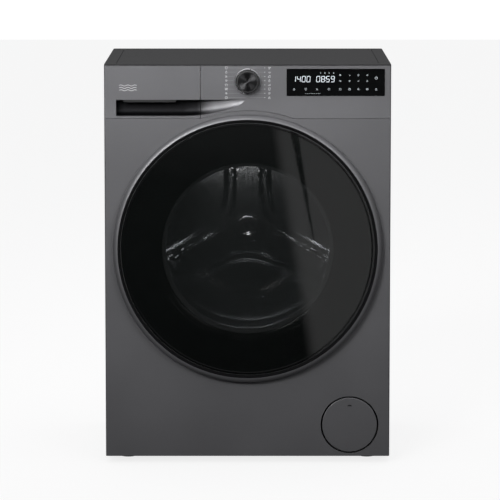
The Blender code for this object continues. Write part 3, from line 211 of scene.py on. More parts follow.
def drum_steel():
    """Stainless sheet with its rows of small drain holes, on the drum's round wall only."""
    made = finish("drum_steel", (0.34, 0.35, 0.36), 0.20, 1.0, spread=0.05, grain=260, bump=0.004, stretch=(1, 12, 1))
    tree = made.node_tree
    place = node(tree, "ShaderNodeTexCoord")
    shift = node(tree, "ShaderNodeVectorMath", operation="SUBTRACT")
    shift.inputs[1].default_value = DOOR
    parts = node(tree, "ShaderNodeSeparateXYZ")
    wire((place, "Object", shift, 0), (shift, 0, parts, 0))
    x, y, z = parts.outputs["X"], parts.outputs["Y"], parts.outputs["Z"]
    do = functools.partial(calculate, tree)
    columns = 72
    hole_radius = 0.085
    turn = do("MULTIPLY", do("ARCTAN2", z, x), columns / (2 * pi))
    row = do("DIVIDE", y, pi * DRUM_RADIUS / columns)
    odd = do("MULTIPLY", do("PINGPONG", do("FLOOR", row), 1.0), 0.5)
    across = do("SUBTRACT", do("FRACT", do("ADD", turn, odd)), 0.5)
    along = do("MULTIPLY", do("SUBTRACT", do("FRACT", row), 0.5), 0.5)
    square = do("ADD", do("MULTIPLY", across, across), do("MULTIPLY", along, along))
    hole = do("LESS_THAN", do("SQRT", square), hole_radius)
    from_axis = do("SQRT", do("ADD", do("MULTIPLY", x, x), do("MULTIPLY", z, z)))
    wall = do("GREATER_THAN", from_axis, DRUM_RADIUS - 0.004)
    wall = do("MULTIPLY", wall, do("LESS_THAN", y, DRUM_HIGH.y - 0.024))
    recolour(made, do("MULTIPLY", hole, wall), (0.01, 0.01, 0.011))
    return made


def shaded_recess_paint():
    """The fascia's paint, which gives way to painted shade, near black and with little gloss, in the depth of the
    handle's hollow.
    """
    made = finish("fascia_paint", FASCIA_COLOUR, 0.40, 0.50, spread=0.10, grain=2400, bump=0.008)
    tree = made.node_tree
    shader = tree.nodes["Principled BSDF"]
    place = node(tree, "ShaderNodeTexCoord")
    parts = node(tree, "ShaderNodeSeparateXYZ")
    wire((place, "Object", parts, 0))

    def fade(axis, start, end):
        made_fade = node(tree, "ShaderNodeMapRange", interpolation_type="SMOOTHSTEP", From_Min=start, From_Max=end)
        wire((parts, axis, made_fade, "Value"))
        return made_fade.outputs["Result"]

    room = 0.0005
    limits = (
        ("X", "GREATER_THAN", HANDLE_LEFT - room),
        ("Z", "GREATER_THAN", HANDLE_LOW - room),
        ("Z", "LESS_THAN", HANDLE_HIGH + room),
    )
    # painted shade: deeper into the handle's hollow and further left, the base colour fades to near black
    painted_recess_shade = calculate(tree, "MULTIPLY", fade("X", -0.064, -0.108), fade("Y", FRONT + 0.003, FRONT + 0.014))
    for axis, operation, limit in limits:
        painted_recess_shade = calculate(tree, "MULTIPLY", painted_recess_shade, calculate(tree, operation, parts.outputs[axis], limit))
    recolour(made, painted_recess_shade, (0.006, 0.006, 0.007))
    # the painted shade also takes away the coat and most of the gloss in the hollow
    for entry, plain, deep in (("Coat Weight", 0.22, 0.0), ("Specular IOR Level", 0.5, 0.12)):
        change = node(tree, "ShaderNodeMapRange", To_Min=plain, To_Max=deep)
        tree.links.new(painted_recess_shade, change.inputs["Value"])
        wire((change, "Result", shader, entry))
    return set_inputs(made, Coat_Roughness=0.30)


def make_finishes():
    """One finish for each of the record's material slots."""
    paint = finish("graphite_paint", (0.155, 0.155, 0.163), 0.44, 0.55, spread=0.10, grain=2600, bump=0.006)
    set_inputs(paint, Coat_Weight=0.25, Coat_Roughness=0.32)
    fascia = finish("graphite_plastic", FASCIA_COLOUR, 0.40, 0.50, spread=0.10, grain=2400, bump=0.008)
    set_inputs(fascia, Coat_Weight=0.22, Coat_Roughness=0.30)
    gloss = finish("black_gloss", (0.004, 0.0042, 0.0045), 0.06, spread=0.3, grain=40, bump=0.0, rough_spread=0.02)
    set_inputs(gloss, Coat_Weight=0.1, Coat_Roughness=0.03, Specular_IOR_Level=0.3)
    smoked = finish("smoked_cover", (0.0045, 0.0056, 0.0053), 0.03, spread=0.2, grain=30, bump=0.0, rough_spread=0.01)
    set_inputs(smoked, Alpha=0.52, Specular_IOR_Level=0.8)
    clear = finish("clear_glass", (0.55, 0.60, 0.60), 0.03, spread=0.03, grain=30, bump=0.0, rough_spread=0.01)
    set_inputs(clear, Alpha=0.10, Specular_IOR_Level=1.0)
    rubber = finish("grey_rubber", (0.075, 0.076, 0.08), 0.62, spread=0.12, grain=1400, bump=0.03)
    set_inputs(rubber, Sheen_Weight=0.12)
    return {
        "graphite_paint": paint,
        "graphite_plastic": fascia,
        "worktop_grey": finish("worktop_grey", (0.015, 0.015, 0.016), 0.72, spread=0.14, grain=1500, bump=0.05),
        "black_gloss": gloss,
        "smoked_cover": smoked,
        "clear_glass": clear,
        "black_matte": finish("black_matte", (0.014, 0.014, 0.015), 0.46, spread=0.15, grain=1300, bump=0.03),
        "chrome": finish("chrome", (0.86, 0.86, 0.88), 0.34, 1.0, spread=0.03, grain=300, bump=0.0),
        "stainless_steel": finish(
            "stainless_steel", (0.50, 0.51, 0.52), 0.26, 1.0, spread=0.06, grain=260, bump=0.004, stretch=(1, 12, 1)
        ),
        "zinc_steel": finish("zinc_steel", (0.46, 0.47, 0.48), 0.36, 1.0, spread=0.12, grain=120, bump=0.01),
        "cast_aluminium": finish("cast_aluminium", (0.52, 0.53, 0.54), 0.48, 1.0, spread=0.10, grain=700, bump=0.08),
        "tub_plastic": finish("tub_plastic", (0.30, 0.31, 0.32), 0.58, spread=0.08, grain=900, bump=0.03),
        "white_plastic": finish("white_plastic", (0.62, 0.63, 0.64), 0.42, spread=0.04, grain=1100, bump=0.02),
        "grey_rubber": rubber,
        "concrete": finish("concrete", (0.40, 0.39, 0.37), 0.92, spread=0.22, grain=240, bump=0.5),
    }


FINISH = make_finishes()
# the fascia and drawer paint, with painted shade in the depth of the handle's hollow
FACE_PAINT_WITH_SHADE = shaded_recess_paint()
SPUN = spun_steel()
DRUM = drum_steel()
LEGEND = finish("legend_print", (0.78, 0.78, 0.79), 0.5, spread=0.08, grain=1500, bump=0)
RULE = finish("legend_rule", (0.36, 0.36, 0.37), 0.5, spread=0.08, grain=1500, bump=0)
DIGIT = glowing("digit_glow", (0.86, 0.93, 1.0), 0.85)
SYMBOL = glowing("symbol_glow", (0.80, 0.86, 0.92), 0.50)
GROUND_EDGE = finish("ground_edge", (0.055, 0.057, 0.058), 0.50, 0.0, spread=0.10, grain=900, bump=0.01)
# painted shade: a near-black finish with little gloss, put on the door ring's inner side and in the filter cover's
# pry notch, where shadow falls
PAINTED_GAP_SHADE = finish("painted_gap_shade", (0.004, 0.004, 0.0045), 0.80, spread=0.15, grain=900, bump=0.02)
set_inputs(PAINTED_GAP_SHADE, Specular_IOR_Level=0.1)


# ---- shapes


def add(name, shape, body, slot, covers=(), sharp=35, finishes=()):
    """Makes a piece of a bmesh: it rides on a body, takes a slot's finish and may stand for CAD nodes."""
    bmesh.ops.recalc_face_normals(shape, faces=shape.faces)
    mesh = bpy.data.meshes.new(name)
    shape.to_mesh(mesh)
    shape.free()
    for material in finishes or [FINISH[slot]]:
        mesh.materials.append(material)
    made = bpy.data.objects.new(name, mesh)
    bpy.context.scene.collection.objects.link(made)
    smooth(made, sharp)
    if body:
        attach(made, body)
    if covers:
        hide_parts(*covers)
    return made


def smooth(made, sharp=35):
    """Smooth shading that stays flat on the flat faces beside a rounded edge."""
    made.data.shade_smooth()
    made.data.set_sharp_from_angle(angle=radians(sharp))
    even = made.modifiers.new("even", "WEIGHTED_NORMAL")
    even.keep_sharp = True


def block(shape, low, high, edge=0.0, segments=2):
    """A box between two corners with rounded edges."""
    low = Vector(low)
    high = Vector(high)
    verts = bmesh.ops.create_cube(shape, size=1)["verts"]
    bmesh.ops.scale(shape, vec=high - low, verts=verts)
    bmesh.ops.translate(shape, vec=(low + high) / 2, verts=verts)
    if edge:
        edges = list({e for v in verts for e in v.link_edges})
        bmesh.ops.bevel(
            shape, geom=edges, offset=edge, segments=segments, affect="EDGES", profile=0.5, clamp_overlap=True
        )


def lathe(shape, profile, centre, steps=128, axis="Y", closed=True, tagged=None):
    """Turns (radius, place on the axis) points about an axis through the centre.

    tagged(radius, place) gives the material's index of each band of faces.
    """
    rings = []
    for radius, along in profile:
        ring = []
        for i in range(steps):
            angle = 2 * pi * i / steps
            a = radius * cos(angle)
            b = radius * sin(angle)
            if axis == "Y":
                co = (centre[0] + a, along, centre[2] + b)
            elif axis == "Z":
                co = (centre[0] + a, centre[1] + b, along)
            else:
                co = (along, centre[1] + a, centre[2] + b)
            ring.append(shape.verts.new(co))
        rings.append(ring)
    count = len(rings)
    for k in range(count if closed else count - 1):
        first = rings[k]
        second = rings[(k + 1) % count]
        index = 0
        if tagged:
            a, b = profile[k], profile[(k + 1) % count]
            index = tagged((a[0] + b[0]) / 2, (a[1] + b[1]) / 2)
        for i in range(steps):
            j = (i + 1) % steps
            face = shape.faces.new((first[i], first[j], second[j], second[i]))
            face.material_index = index
    bmesh.ops.remove_doubles(shape, verts=[v for ring in rings for v in ring if v.is_valid], dist=1e-6)


def slab(shape, outlines, near, far, axis="Y"):
    """A flat sheet between two places on an axis; the first outline is its rim and any others are holes."""
    order = {"X": (2, 0, 1), "Y": (0, 2, 1), "Z": (0, 1, 2)}[axis]
    fronts = []
    backs = []
    for outline in outlines:
        front = []
        back = []
        for u, v in outline:
            for side, along in ((front, near), (back, far)):
                given = (u, v, along)
                side.append(shape.verts.new([given[i] for i in order]))
        for i in range(len(front)):
            j = (i + 1) % len(front)
            shape.faces.new((front[i], front[j], back[j], back[i]))
        fronts += front
        backs += back
    for triangle in geometry.tessellate_polygon([[Vector((u, v, 0)) for u, v in outline] for outline in outlines]):
        shape.faces.new([fronts[i] for i in triangle])
        shape.faces.new([backs[i] for i in reversed(triangle)])
    bmesh.ops.recalc_face_normals(shape, faces=shape.faces)
    bmesh.ops.dissolve_limit(shape, angle_limit=0.005, verts=shape.verts, edges=shape.edges)


def soften(shape, offset, segments, chosen, least=0.6):
    """Rounds the sharp edges whose middle the rule picks."""
    edges = []
    for edge in shape.edges:
        if len(edge.link_faces) == 2 and edge.calc_face_angle() > least:
            middle = (edge.verts[0].co + edge.verts[1].co) / 2
            if chosen(middle):
                edges.append(edge)
    if edges:
        bmesh.ops.bevel(
            shape, geom=edges, offset=offset, segments=segments, affect="EDGES", profile=0.5, clamp_overlap=True
        )


def skin(shape, rings, caps=True):
    """Joins closed rings of vertices in turn, and may close the two ends."""
    for first, second in zip(rings, rings[1:]):
        for i in range(len(first)):
            j = (i + 1) % len(first)
            shape.faces.new((first[i], first[j], second[j], second[i]))
    if caps:
        shape.faces.new(rings[0])
        shape.faces.new(rings[-1])


def turned(profile, centre, steps=128, **more):
    """A new shape with one profile turned in it."""
    shape = bmesh.new()
    lathe(shape, profile, centre, steps, **more)
    return shape


def sheet(outlines, near, far, axis="Y"):
    """A new shape with one slab in it."""
    shape = bmesh.new()
    slab(shape, outlines, near, far, axis)
    return shape


def tube(shape, points, radius, sides):
    """A round wire along a line of points."""
    points = [Vector(p) for p in points]
    rings = []
    normal = None
    for i, point in enumerate(points):
        ahead = points[min(i + 1, len(points) - 1)]
        behind = points[max(i - 1, 0)]
        along = (ahead - behind).normalized()
        if normal is None:
            normal = along.orthogonal().normalized()
        normal = (normal - along * normal.dot(along)).normalized()
        across = along.cross(normal)
        ring = []
        for k in range(sides):
            angle = 2 * pi * k / sides
            ring.append(shape.verts.new(point + radius * (cos(angle) * normal + sin(angle) * across)))
        rings.append(ring)
    skin(shape, rings)


def arc(centre, radius, start, end, count):
    """Points (x, z) on a circle between two angles in degrees."""
    angles = [radians(start + (end - start) * i / (count - 1)) for i in range(count)]
    return [(centre[0] + radius * cos(a), centre[2] + radius * sin(a)) for a in angles]


def circle(centre, radius, count):
    return arc(centre, radius, 0, 360 * (count - 1) / count, count)


def rounded(x0, z0, x1, z1, radius, count=6):
    """A rectangle with round corners, as (x, z) points."""
    corners = [
        ((x1 - radius, 0, z0 + radius), 270), ((x1 - radius, 0, z1 - radius), 0),
        ((x0 + radius, 0, z1 - radius), 90), ((x0 + radius, 0, z0 + radius), 180),
    ]
    points = []
    for centre, start in corners:
        points += arc(centre, radius, start, start + 90, count)
    return points


def carved(made, joined=(), removed=()):
    """The piece with some solids joined on and others cut away, as one plain mesh."""
    made.modifiers.clear()
    for others, operation in ((joined, "UNION"), (removed, "DIFFERENCE")):
        for other in others:
            modifier = made.modifiers.new(operation, "BOOLEAN")
            modifier.operation = operation
            modifier.solver = "EXACT"
            modifier.object = other
    bpy.context.view_layer.update()
    graph = bpy.context.evaluated_depsgraph_get()
    mesh = bpy.data.meshes.new_from_object(made.evaluated_get(graph))
    made.modifiers.clear()
    made.data = mesh
    mesh.name = made.name
    for other in (*joined, *removed):
        bpy.data.objects.remove(other)
    smooth(made)


def helper(name, shape):
    """A cutter, which carved() removes again."""
    bmesh.ops.recalc_face_normals(shape, faces=shape.faces)
    mesh = bpy.data.meshes.new(name)
    shape.to_mesh(mesh)
    shape.free()
    made = bpy.data.objects.new(name, mesh)
    bpy.context.scene.collection.objects.link(made)
    return made


def bar(name, low, high):
    shape = bmesh.new()
    block(shape, low, high)
    return helper(name, shape)


def ease(share):
    share = max(0.0, min(1.0, share))
    return share * share * (3 - 2 * share)


# ---- cabinet


def make_front_panel():
    """The pressed front sheet: rounded sides, an arched top edge and turned-in openings."""
    edge = FASCIA_BOTTOM - SEAM
    radius = ARCH_RADIUS - SEAM
    half = degrees(asin((edge - DOOR.z) / radius))
    rim = [(-SIDE, PANEL_LOW.z), (SIDE, PANEL_LOW.z), (SIDE, edge)]
    rim += arc(DOOR, radius, half, 180 - half, 48) + [(-SIDE, edge)]
    holes = [circle(DOOR, PANEL_HOLE, 128), circle(FILTER, FILTER_RADIUS + 0.003, 96)]
    shape = sheet([rim] + holes, FRONT, FRONT + 0.020)
    soften(
        shape, SIDE_ROUND, 5,
        lambda m: abs(m.y - FRONT) < 1e-5 and abs(abs(m.x) - SIDE) < 1e-5,
    )
    soften(shape, EDGE_ROUND, 3, lambda m: m.y < FRONT + 1e-4 and m.z > PANEL_LOW.z + 1e-4)
    drop = [f for f in shape.faces if f.normal.y > 0.9 or f.normal.z < -0.9 and f.calc_center_median().z < 0.02]
    bmesh.ops.delete(shape, geom=drop, context="FACES")
    made = add("front_skin", shape, "cabinet", "graphite_paint", ["front_panel"])
    thick = made.modifiers.new("thick", "SOLIDIFY")
    thick.thickness = SHEET
    thick.offset = -1
    made.modifiers.move(1, 0)


def front_face(z):
    """How far behind the front plane the fascia's face lies at this height: it leans back above its crease."""
    if z < CREASE:
        return CREASE_DEPTH * (z - FASCIA_BOTTOM) / (CREASE - FASCIA_BOTTOM)
    return CREASE_DEPTH * (1 - 0.6 * (z - CREASE) / (TOP - CREASE))


def lean(shape):
    """Splits a fascia slab at the crease and moves its front face onto the two leaning planes."""
    everything = list(shape.verts) + list(shape.edges) + list(shape.faces)
    bmesh.ops.bisect_plane(shape, geom=everything, plane_co=(0, 0, CREASE), plane_no=(0, 0, 1))
    for vert in shape.verts:
        if vert.co.y < FRONT + 0.006:
            vert.co.y += front_face(vert.co.z)


def scoop():
    """The hollow of the handle: deep under the lip at the left, and fading out to the right."""
    shape = bmesh.new()
    stations = [HANDLE_LEFT - 0.0001, HANDLE_LEFT, HANDLE_LEFT + 0.001, HANDLE_LEFT + 0.004]
    stations += [HANDLE_BEND + (HANDLE_TIP - HANDLE_BEND) * i / 30 for i in range(31)]
    steps = 14
    rings = []
    for x in stations:
        share = ease((x - HANDLE_BEND) / (HANDLE_TIP - HANDLE_BEND))
        rise = max(0.0, (x - HANDLE_BEND) / (HANDLE_TIP - HANDLE_BEND))
        depth = HANDLE_DEPTH * (1 - share) + 0.0004
        low = HANDLE_LOW + (HANDLE_HIGH - HANDLE_LOW) * 0.93 * rise**2.1
        if x < HANDLE_LEFT + 0.001:
            low += 0.003 if x < HANDLE_LEFT else 0.001
        corner = 4.5 - 2.6 * share
        points = [(FRONT - 0.02, HANDLE_HIGH), (FRONT - 0.02, low)]
        for i in range(steps + 1):
            t = i / steps
            reach = (1 - (1 - t) ** corner) ** (1 / corner)
            points.append((FRONT - 0.002 + (depth + 0.002) * reach, low + (HANDLE_HIGH - low) * t**1.15))
        rings.append([shape.verts.new((x, y, z)) for y, z in points])
    skin(shape, rings)
    return helper("scoop", shape)


def make_fascia():
    """The control fascia, with the crease, the arch over the door and the end of the handle's hollow."""
    left = FASCIA_LOW.x
    half = degrees(asin((FASCIA_BOTTOM - DOOR.z) / ARCH_RADIUS))
    start = 180 - degrees(acos(min(1, -left / ARCH_RADIUS)))
    rim = [(left, FASCIA_BOTTOM)] if start >= 180 - half else []
    arch = arc(DOOR, ARCH_RADIUS, min(start, 180 - half), half, 48)
    rim = [(left, FASCIA_HIGH.z)] + rim + arch + [(SIDE, FASCIA_BOTTOM), (SIDE, FASCIA_HIGH.z)]
    shape = sheet([rim], FRONT, FRONT + 0.020)
    soften(shape, SIDE_ROUND, 5, lambda m: abs(m.y - FRONT) < 1e-5 and abs(m.x - SIDE) < 1e-5)
    soften(shape, EDGE_ROUND, 3, lambda m: m.y < FRONT + 1e-4)
    lean(shape)
    made = add("fascia_shell", shape, "cabinet", "graphite_plastic", ["control_fascia"], finishes=[FACE_PAINT_WITH_SHADE])
    blocks = [
        bar("block_high", (left + 0.0002, FRONT + 0.016, 0.7402), (-0.044, FASCIA_HIGH.y, 0.7735)),
        bar("block_low", (left + 0.0002, FRONT + 0.016, 0.7377), (-0.073, FASCIA_HIGH.y, 0.7425)),
    ]
    hollow_shape = bmesh.new()
    slab(hollow_shape, [[(0.011, 0.753), (SIDE - 0.003, 0.753), (SIDE - 0.003, TOP - 0.003), (0.011, TOP - 0.003)]],
         FRONT + 0.0045, FRONT + 0.04)
    side_hollow = [(left + 0.0025, 0.7745), (0.012, 0.7745), (0.012, TOP - 0.003), (left + 0.0025, TOP - 0.003)]
    hollow_left = bmesh.new()
    slab(hollow_left, [side_hollow], FRONT + 0.0045, FRONT + 0.05)
    glass = bar(
        "glass_pocket",
        (GLASS_LOW.x - 0.0003, FRONT - 0.01, GLASS_LOW.z - 0.0003),
        (GLASS_HIGH.x + 0.0003, GLASS_HIGH.y + 0.0003, GLASS_HIGH.z + 0.0003),
    )
    removed = [helper("hollow", hollow_shape), helper("hollow_left", hollow_left), scoop(), glass]
    carved(made, blocks, removed)


def make_drawer_front():
    """The drawer's front with its share of the crease and the deep end of the handle's hollow."""
    rim = [
        (DRAWER_LOW.x, DRAWER_LOW.z), (DRAWER_HIGH.x, DRAWER_LOW.z), (DRAWER_HIGH.x, DRAWER_HIGH.z),
        (DRAWER_LOW.x, DRAWER_HIGH.z),
    ]
    shape = sheet([rim], FRONT, FRONT + 0.020)
    soften(shape, SIDE_ROUND, 5, lambda m: abs(m.y - FRONT) < 1e-5 and abs(m.x + SIDE) < 1e-5)
    soften(shape, EDGE_ROUND, 3, lambda m: m.y < FRONT + 1e-4)
    lean(shape)
    made = add("drawer_face", shape, "drawer", "graphite_plastic", ["drawer_front"], finishes=[FACE_PAINT_WITH_SHADE])
    back = bar(
        "block",
        (HANDLE_LEFT - 0.003, FRONT + 0.018, HANDLE_LOW - 0.003),
        (DRAWER_HIGH.x, DRAWER_HIGH.y, HANDLE_HIGH + 0.003),
    )
    hollow = bar(
        "hollow",
        (-SIDE + 0.0025, FRONT + 0.0035, HANDLE_HIGH + 0.004),
        (DRAWER_HIGH.x - 0.0025, FRONT + 0.05, TOP - 0.003),
    )
    carved(made, [back], [hollow, scoop()])
    make_lip()


def make_lip():
    """The grip strip that hangs from the top of the handle's hollow."""
    shape = bmesh.new()
    left = HANDLE_LEFT + 0.014
    right = -0.149
    drop = 0.0055
    outline = [(left, HANDLE_HIGH + 0.0006), (left + 0.002, HANDLE_HIGH - drop), (right - 0.002, HANDLE_HIGH - drop)]
    outline += [(right, HANDLE_HIGH - drop * 0.45), (right, HANDLE_HIGH + 0.0006)]
    slab(shape, [outline], FRONT + 0.0035, FRONT + 0.0060)
    soften(shape, 0.0006, 2, lambda m: m.z < HANDLE_HIGH)
    add("drawer_grip_strip", shape, "drawer", "black_matte")


def make_worktop():
    """The moulded frame with round corners, its skirt, and the board let into it."""
    low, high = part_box("worktop_frame")
    board_low, board_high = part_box("worktop_board")
    room = 0.0004
    rim = rounded(low.x, FRONT, high.x, high.y, 0.006)
    seat = rounded(board_low.x - room, board_low.y - room, board_high.x + room, board_high.y + room, 0.004)
    ledge = rounded(board_low.x + 0.008, board_low.y + 0.008, board_high.x - 0.008, board_high.y - 0.008, 0.004)
    skirt = rounded(low.x + 0.0022, FRONT + 0.025, high.x - 0.0022, high.y - 0.0022, 0.002)
    shape = sheet([rim, seat], high.z, TOP + 0.0004, axis="Z")
    soften(shape, 0.0011, 3, lambda m: m.z > high.z - 1e-5, least=1.0)
    add("worktop_rim", shape, "cabinet", "worktop_grey", ["worktop_frame"])
    shape = bmesh.new()
    slab(shape, [skirt, seat], TOP + 0.0003, board_low.z - room, axis="Z")
    slab(shape, [skirt, ledge], board_low.z - room - 0.0001, low.z, axis="Z")
    add("worktop_skirt", shape, "cabinet", "worktop_grey")
    board = rounded(board_low.x, board_low.y, board_high.x, board_high.y, 0.0036)
    shape = sheet([board], board_high.z, board_low.z, axis="Z")
    soften(shape, 0.0009, 3, lambda m: m.z > board_high.z - 1e-5, least=1.0)
    add("worktop_inlay", shape, "cabinet", "worktop_grey", ["worktop_board"])


# ---- knob, display and prints


def make_knob():
    """A black knob with a spun metal cap, in a bright ring."""
    face = KNOB_LOW.y
    radius = KNOB_HIGH.x
    cap_low, cap_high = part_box("knob_cap")
    ring_low, ring_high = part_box("knob_trim_ring")
    face_radius = cap_high.x - 0.0012
    shape = bmesh.new()
    profile = [
        (0, cap_high.y + 0.0004), (face_radius + 0.0003, cap_high.y + 0.0004), (face_radius + 0.0003, face + 0.0003),
        (face_radius + 0.0007, face), (radius - 0.0016, face), (radius - 0.0008, face + 0.0003),
        (radius - 0.0002, face + 0.0010), (radius - 0.0002, FRONT - 0.0012), (radius - 0.0012, FRONT - 0.0008),
        (0.003, FRONT - 0.0008), (0.003, KNOB_HIGH.y), (0, KNOB_HIGH.y),
    ]
    lathe(shape, profile, KNOB, 160, closed=False)
    for vert in shape.verts:
        radial = vert.co - Vector((KNOB.x, vert.co.y, KNOB.z))
        if radial.length > radius - 0.0005 and FRONT - 0.0155 < vert.co.y < FRONT - 0.0011:
            turn = atan2(radial.z, radial.x)
            radial.length = radial.length - 0.00035 * (0.5 + 0.5 * cos(40 * turn))
            vert.co = Vector((KNOB.x, vert.co.y, KNOB.z)) + radial
    add("knob_grip", shape, "knob", "black_matte", ["program_knob"])
    shape = bmesh.new()
    cap = [
        (0, cap_low.y + 0.0002), (face_radius * 0.5, cap_low.y + 0.0001), (face_radius - 0.0005, cap_low.y),
        (face_radius, cap_low.y + 0.0004), (face_radius, cap_high.y), (0, cap_high.y),
    ]
    lathe(shape, cap, KNOB, 128, closed=False)
    add("knob_face", shape, "knob", "stainless_steel", ["knob_cap"], finishes=[SPUN])
    shape = bmesh.new()
    inner = radius + 0.0006
    outer = ring_high.x
    ring = [
        (inner, ring_high.y), (inner, ring_low.y + 0.0008), (inner + 0.0005, ring_low.y + 0.0002),
        (outer - 0.0008, ring_low.y), (outer - 0.0002, ring_low.y + 0.0006), (outer, ring_high.y),
    ]
    lathe(shape, ring, KNOB, 128)
    add("knob_ring", shape, "knob", "chrome", ["knob_trim_ring"])
    shape = bmesh.new()
    turn = radians(76)
    middle = KNOB + Vector((cos(turn), 0, sin(turn))) * (inner + outer) / 2
    block(shape, (-0.0018, ring_low.y - 0.00025, -0.0009), (0.0018, ring_low.y + 0.001, 0.0009), 0.0002)
    bmesh.ops.rotate(shape, cent=(0, 0, 0), matrix=Matrix.Rotation(-turn, 3, "Y"), verts=shape.verts)
    bmesh.ops.translate(shape, vec=(middle.x, 0, middle.z), verts=shape.verts)
    add("knob_pointer", shape, "knob", "black_matte")


def stroke(shape, points, width, y):
    """A printed line of some width through (x, z) points, with a hair of thickness."""
    line = [Vector((x, z)) for x, z in points]
    left = []
    right = []
    for i, point in enumerate(line):
        ahead = line[min(i + 1, len(line) - 1)]
        behind = line[max(i - 1, 0)]
        along = (ahead - behind).normalized()
        side = Vector((-along.y, along.x)) * width / 2
        left.append(point + side)
        right.append(point - side)
    outline = [(p.x, p.y) for p in left + right[::-1]]
    near = [shape.verts.new((x, y - PRINT, z)) for x, z in outline]
    far = [shape.verts.new((x, y, z)) for x, z in outline]
    count = len(line)
    for i in range(count - 1):
        j = 2 * count - 1 - i
        shape.faces.new((near[i], near[i + 1], near[j - 1], near[j]))
        shape.faces.new((far[j], far[j - 1], far[i + 1], far[i]))
    for i in range(2 * count):
        j = (i + 1) % (2 * count)
        shape.faces.new((near[j], near[i], far[i], far[j]))


def ring_line(radius, start=0, end=360, count=17, x=0.0, z=0.0):
    return arc((x, 0, z), radius, start, end, count)


# Each symbol is a few lines in a square from -1 to 1.
SYMBOLS = {
    "shirt": [
        [(-0.5, -0.9), (-0.5, 0.3), (-1, 0.1), (-0.7, 0.9), (0.7, 0.9), (1, 0.1), (0.5, 0.3), (0.5, -0.9),
         (-0.5, -0.9)]
    ],
    "drop": [[(0, 1), (-0.6, -0.1)] + ring_line(0.62, 170, 370, 11, z=-0.3) + [(0.6, -0.1), (0, 1)]],
    "sun": [ring_line(0.45)] + [
        [(0.7 * cos(a), 0.7 * sin(a)), (cos(a), sin(a))] for a in (0, 1.05, 2.09, 3.14, 4.19, 5.24)
    ],
    "snow": [[(-cos(a), -sin(a)), (cos(a), sin(a))] for a in (0, 1.05, 2.09)],
    "leaf": [
        ring_line(1.1, 20, 110, 9, -0.5, -0.6), ring_line(1.1, 200, 290, 9, 0.5, 0.55), [(-0.8, -0.9), (0.3, 0.3)]
    ],
    "waves": [[(-1 + i / 6, z + 0.22 * sin(i * pi / 3)) for i in range(13)] for z in (-0.5, 0.1, 0.7)],
    "clock": [ring_line(0.9), [(0, 0.6), (0, 0), (0.45, -0.2)]],
    "spiral": [[(0.09 * i * cos(i * 0.6), 0.09 * i * sin(i * 0.6)) for i in range(2, 12)]],
    "bars": [[(x, -0.8), (x, h)] for x, h in ((-0.7, 0.0), (0, 0.5), (0.7, 0.9))],
    "lock": [[(-0.7, -0.9), (-0.7, 0.1), (0.7, 0.1), (0.7, -0.9), (-0.7, -0.9)], ring_line(0.45, 0, 180, 9, 0, 0.1)],
    "tub": [
        [(-1, 0.5), (-0.7, -0.8), (0.7, -0.8), (1, 0.5)],
        [(-1 + i / 4, 0.5 + 0.12 * sin(i * 1.57)) for i in range(9)],
    ],
    "iron": [[(-1, -0.7), (1, -0.7), (0.7, 0.5), (-0.4, 0.5), (-1, -0.7)], [(-0.2, 0.5), (0.7, 0.8)]],
    "power": [ring_line(0.85, 120, 420, 21), [(0, 0.25), (0, 1.1)]],
    "fan": [
        [(0, 0)] + ring_line(0.5, a, a + 120, 7, 0.5 * cos(radians(a)), 0.5 * sin(radians(a))) for a in (0, 120, 240)
    ],
}


def draw(shape, symbol, x, z, size, width, y):
    for line in SYMBOLS[symbol]:
        stroke(shape, [(x + a * size, z + b * size) for a, b in line], width, y)


def segments(shape, digit, x, z, width, height, y):
    """One seven-segment figure, slanted a little, with its lower left corner at x, z."""
    lit = {
        "0": "abcdef", "1": "bc", "2": "abged", "3": "abgcd", "4": "fgbc",
        "5": "afgcd", "6": "afgedc", "7": "abc", "8": "abcdefg", "9": "abcdfg",
    }[digit]
    half = height / 2
    ends = {
        "a": ((0, height), (width, height)), "b": ((width, height), (width, half)), "c": ((width, half), (width, 0)),
        "d": ((0, 0), (width, 0)), "e": ((0, 0), (0, half)), "f": ((0, half), (0, height)),
        "g": ((0, half), (width, half)),
    }
    for name in lit:
        (x0, z0), (x1, z1) = ends[name]
        gap = 0.0005
        dx = (x1 > x0) - (x1 < x0)
        dz = (z1 > z0) - (z1 < z0)
        points = [(x0 + dx * gap, z0 + dz * gap), (x1 - dx * gap, z1 - dz * gap)]
        stroke(shape, [(x + px + 0.08 * pz, z + pz) for px, pz in points], 0.0010, y)


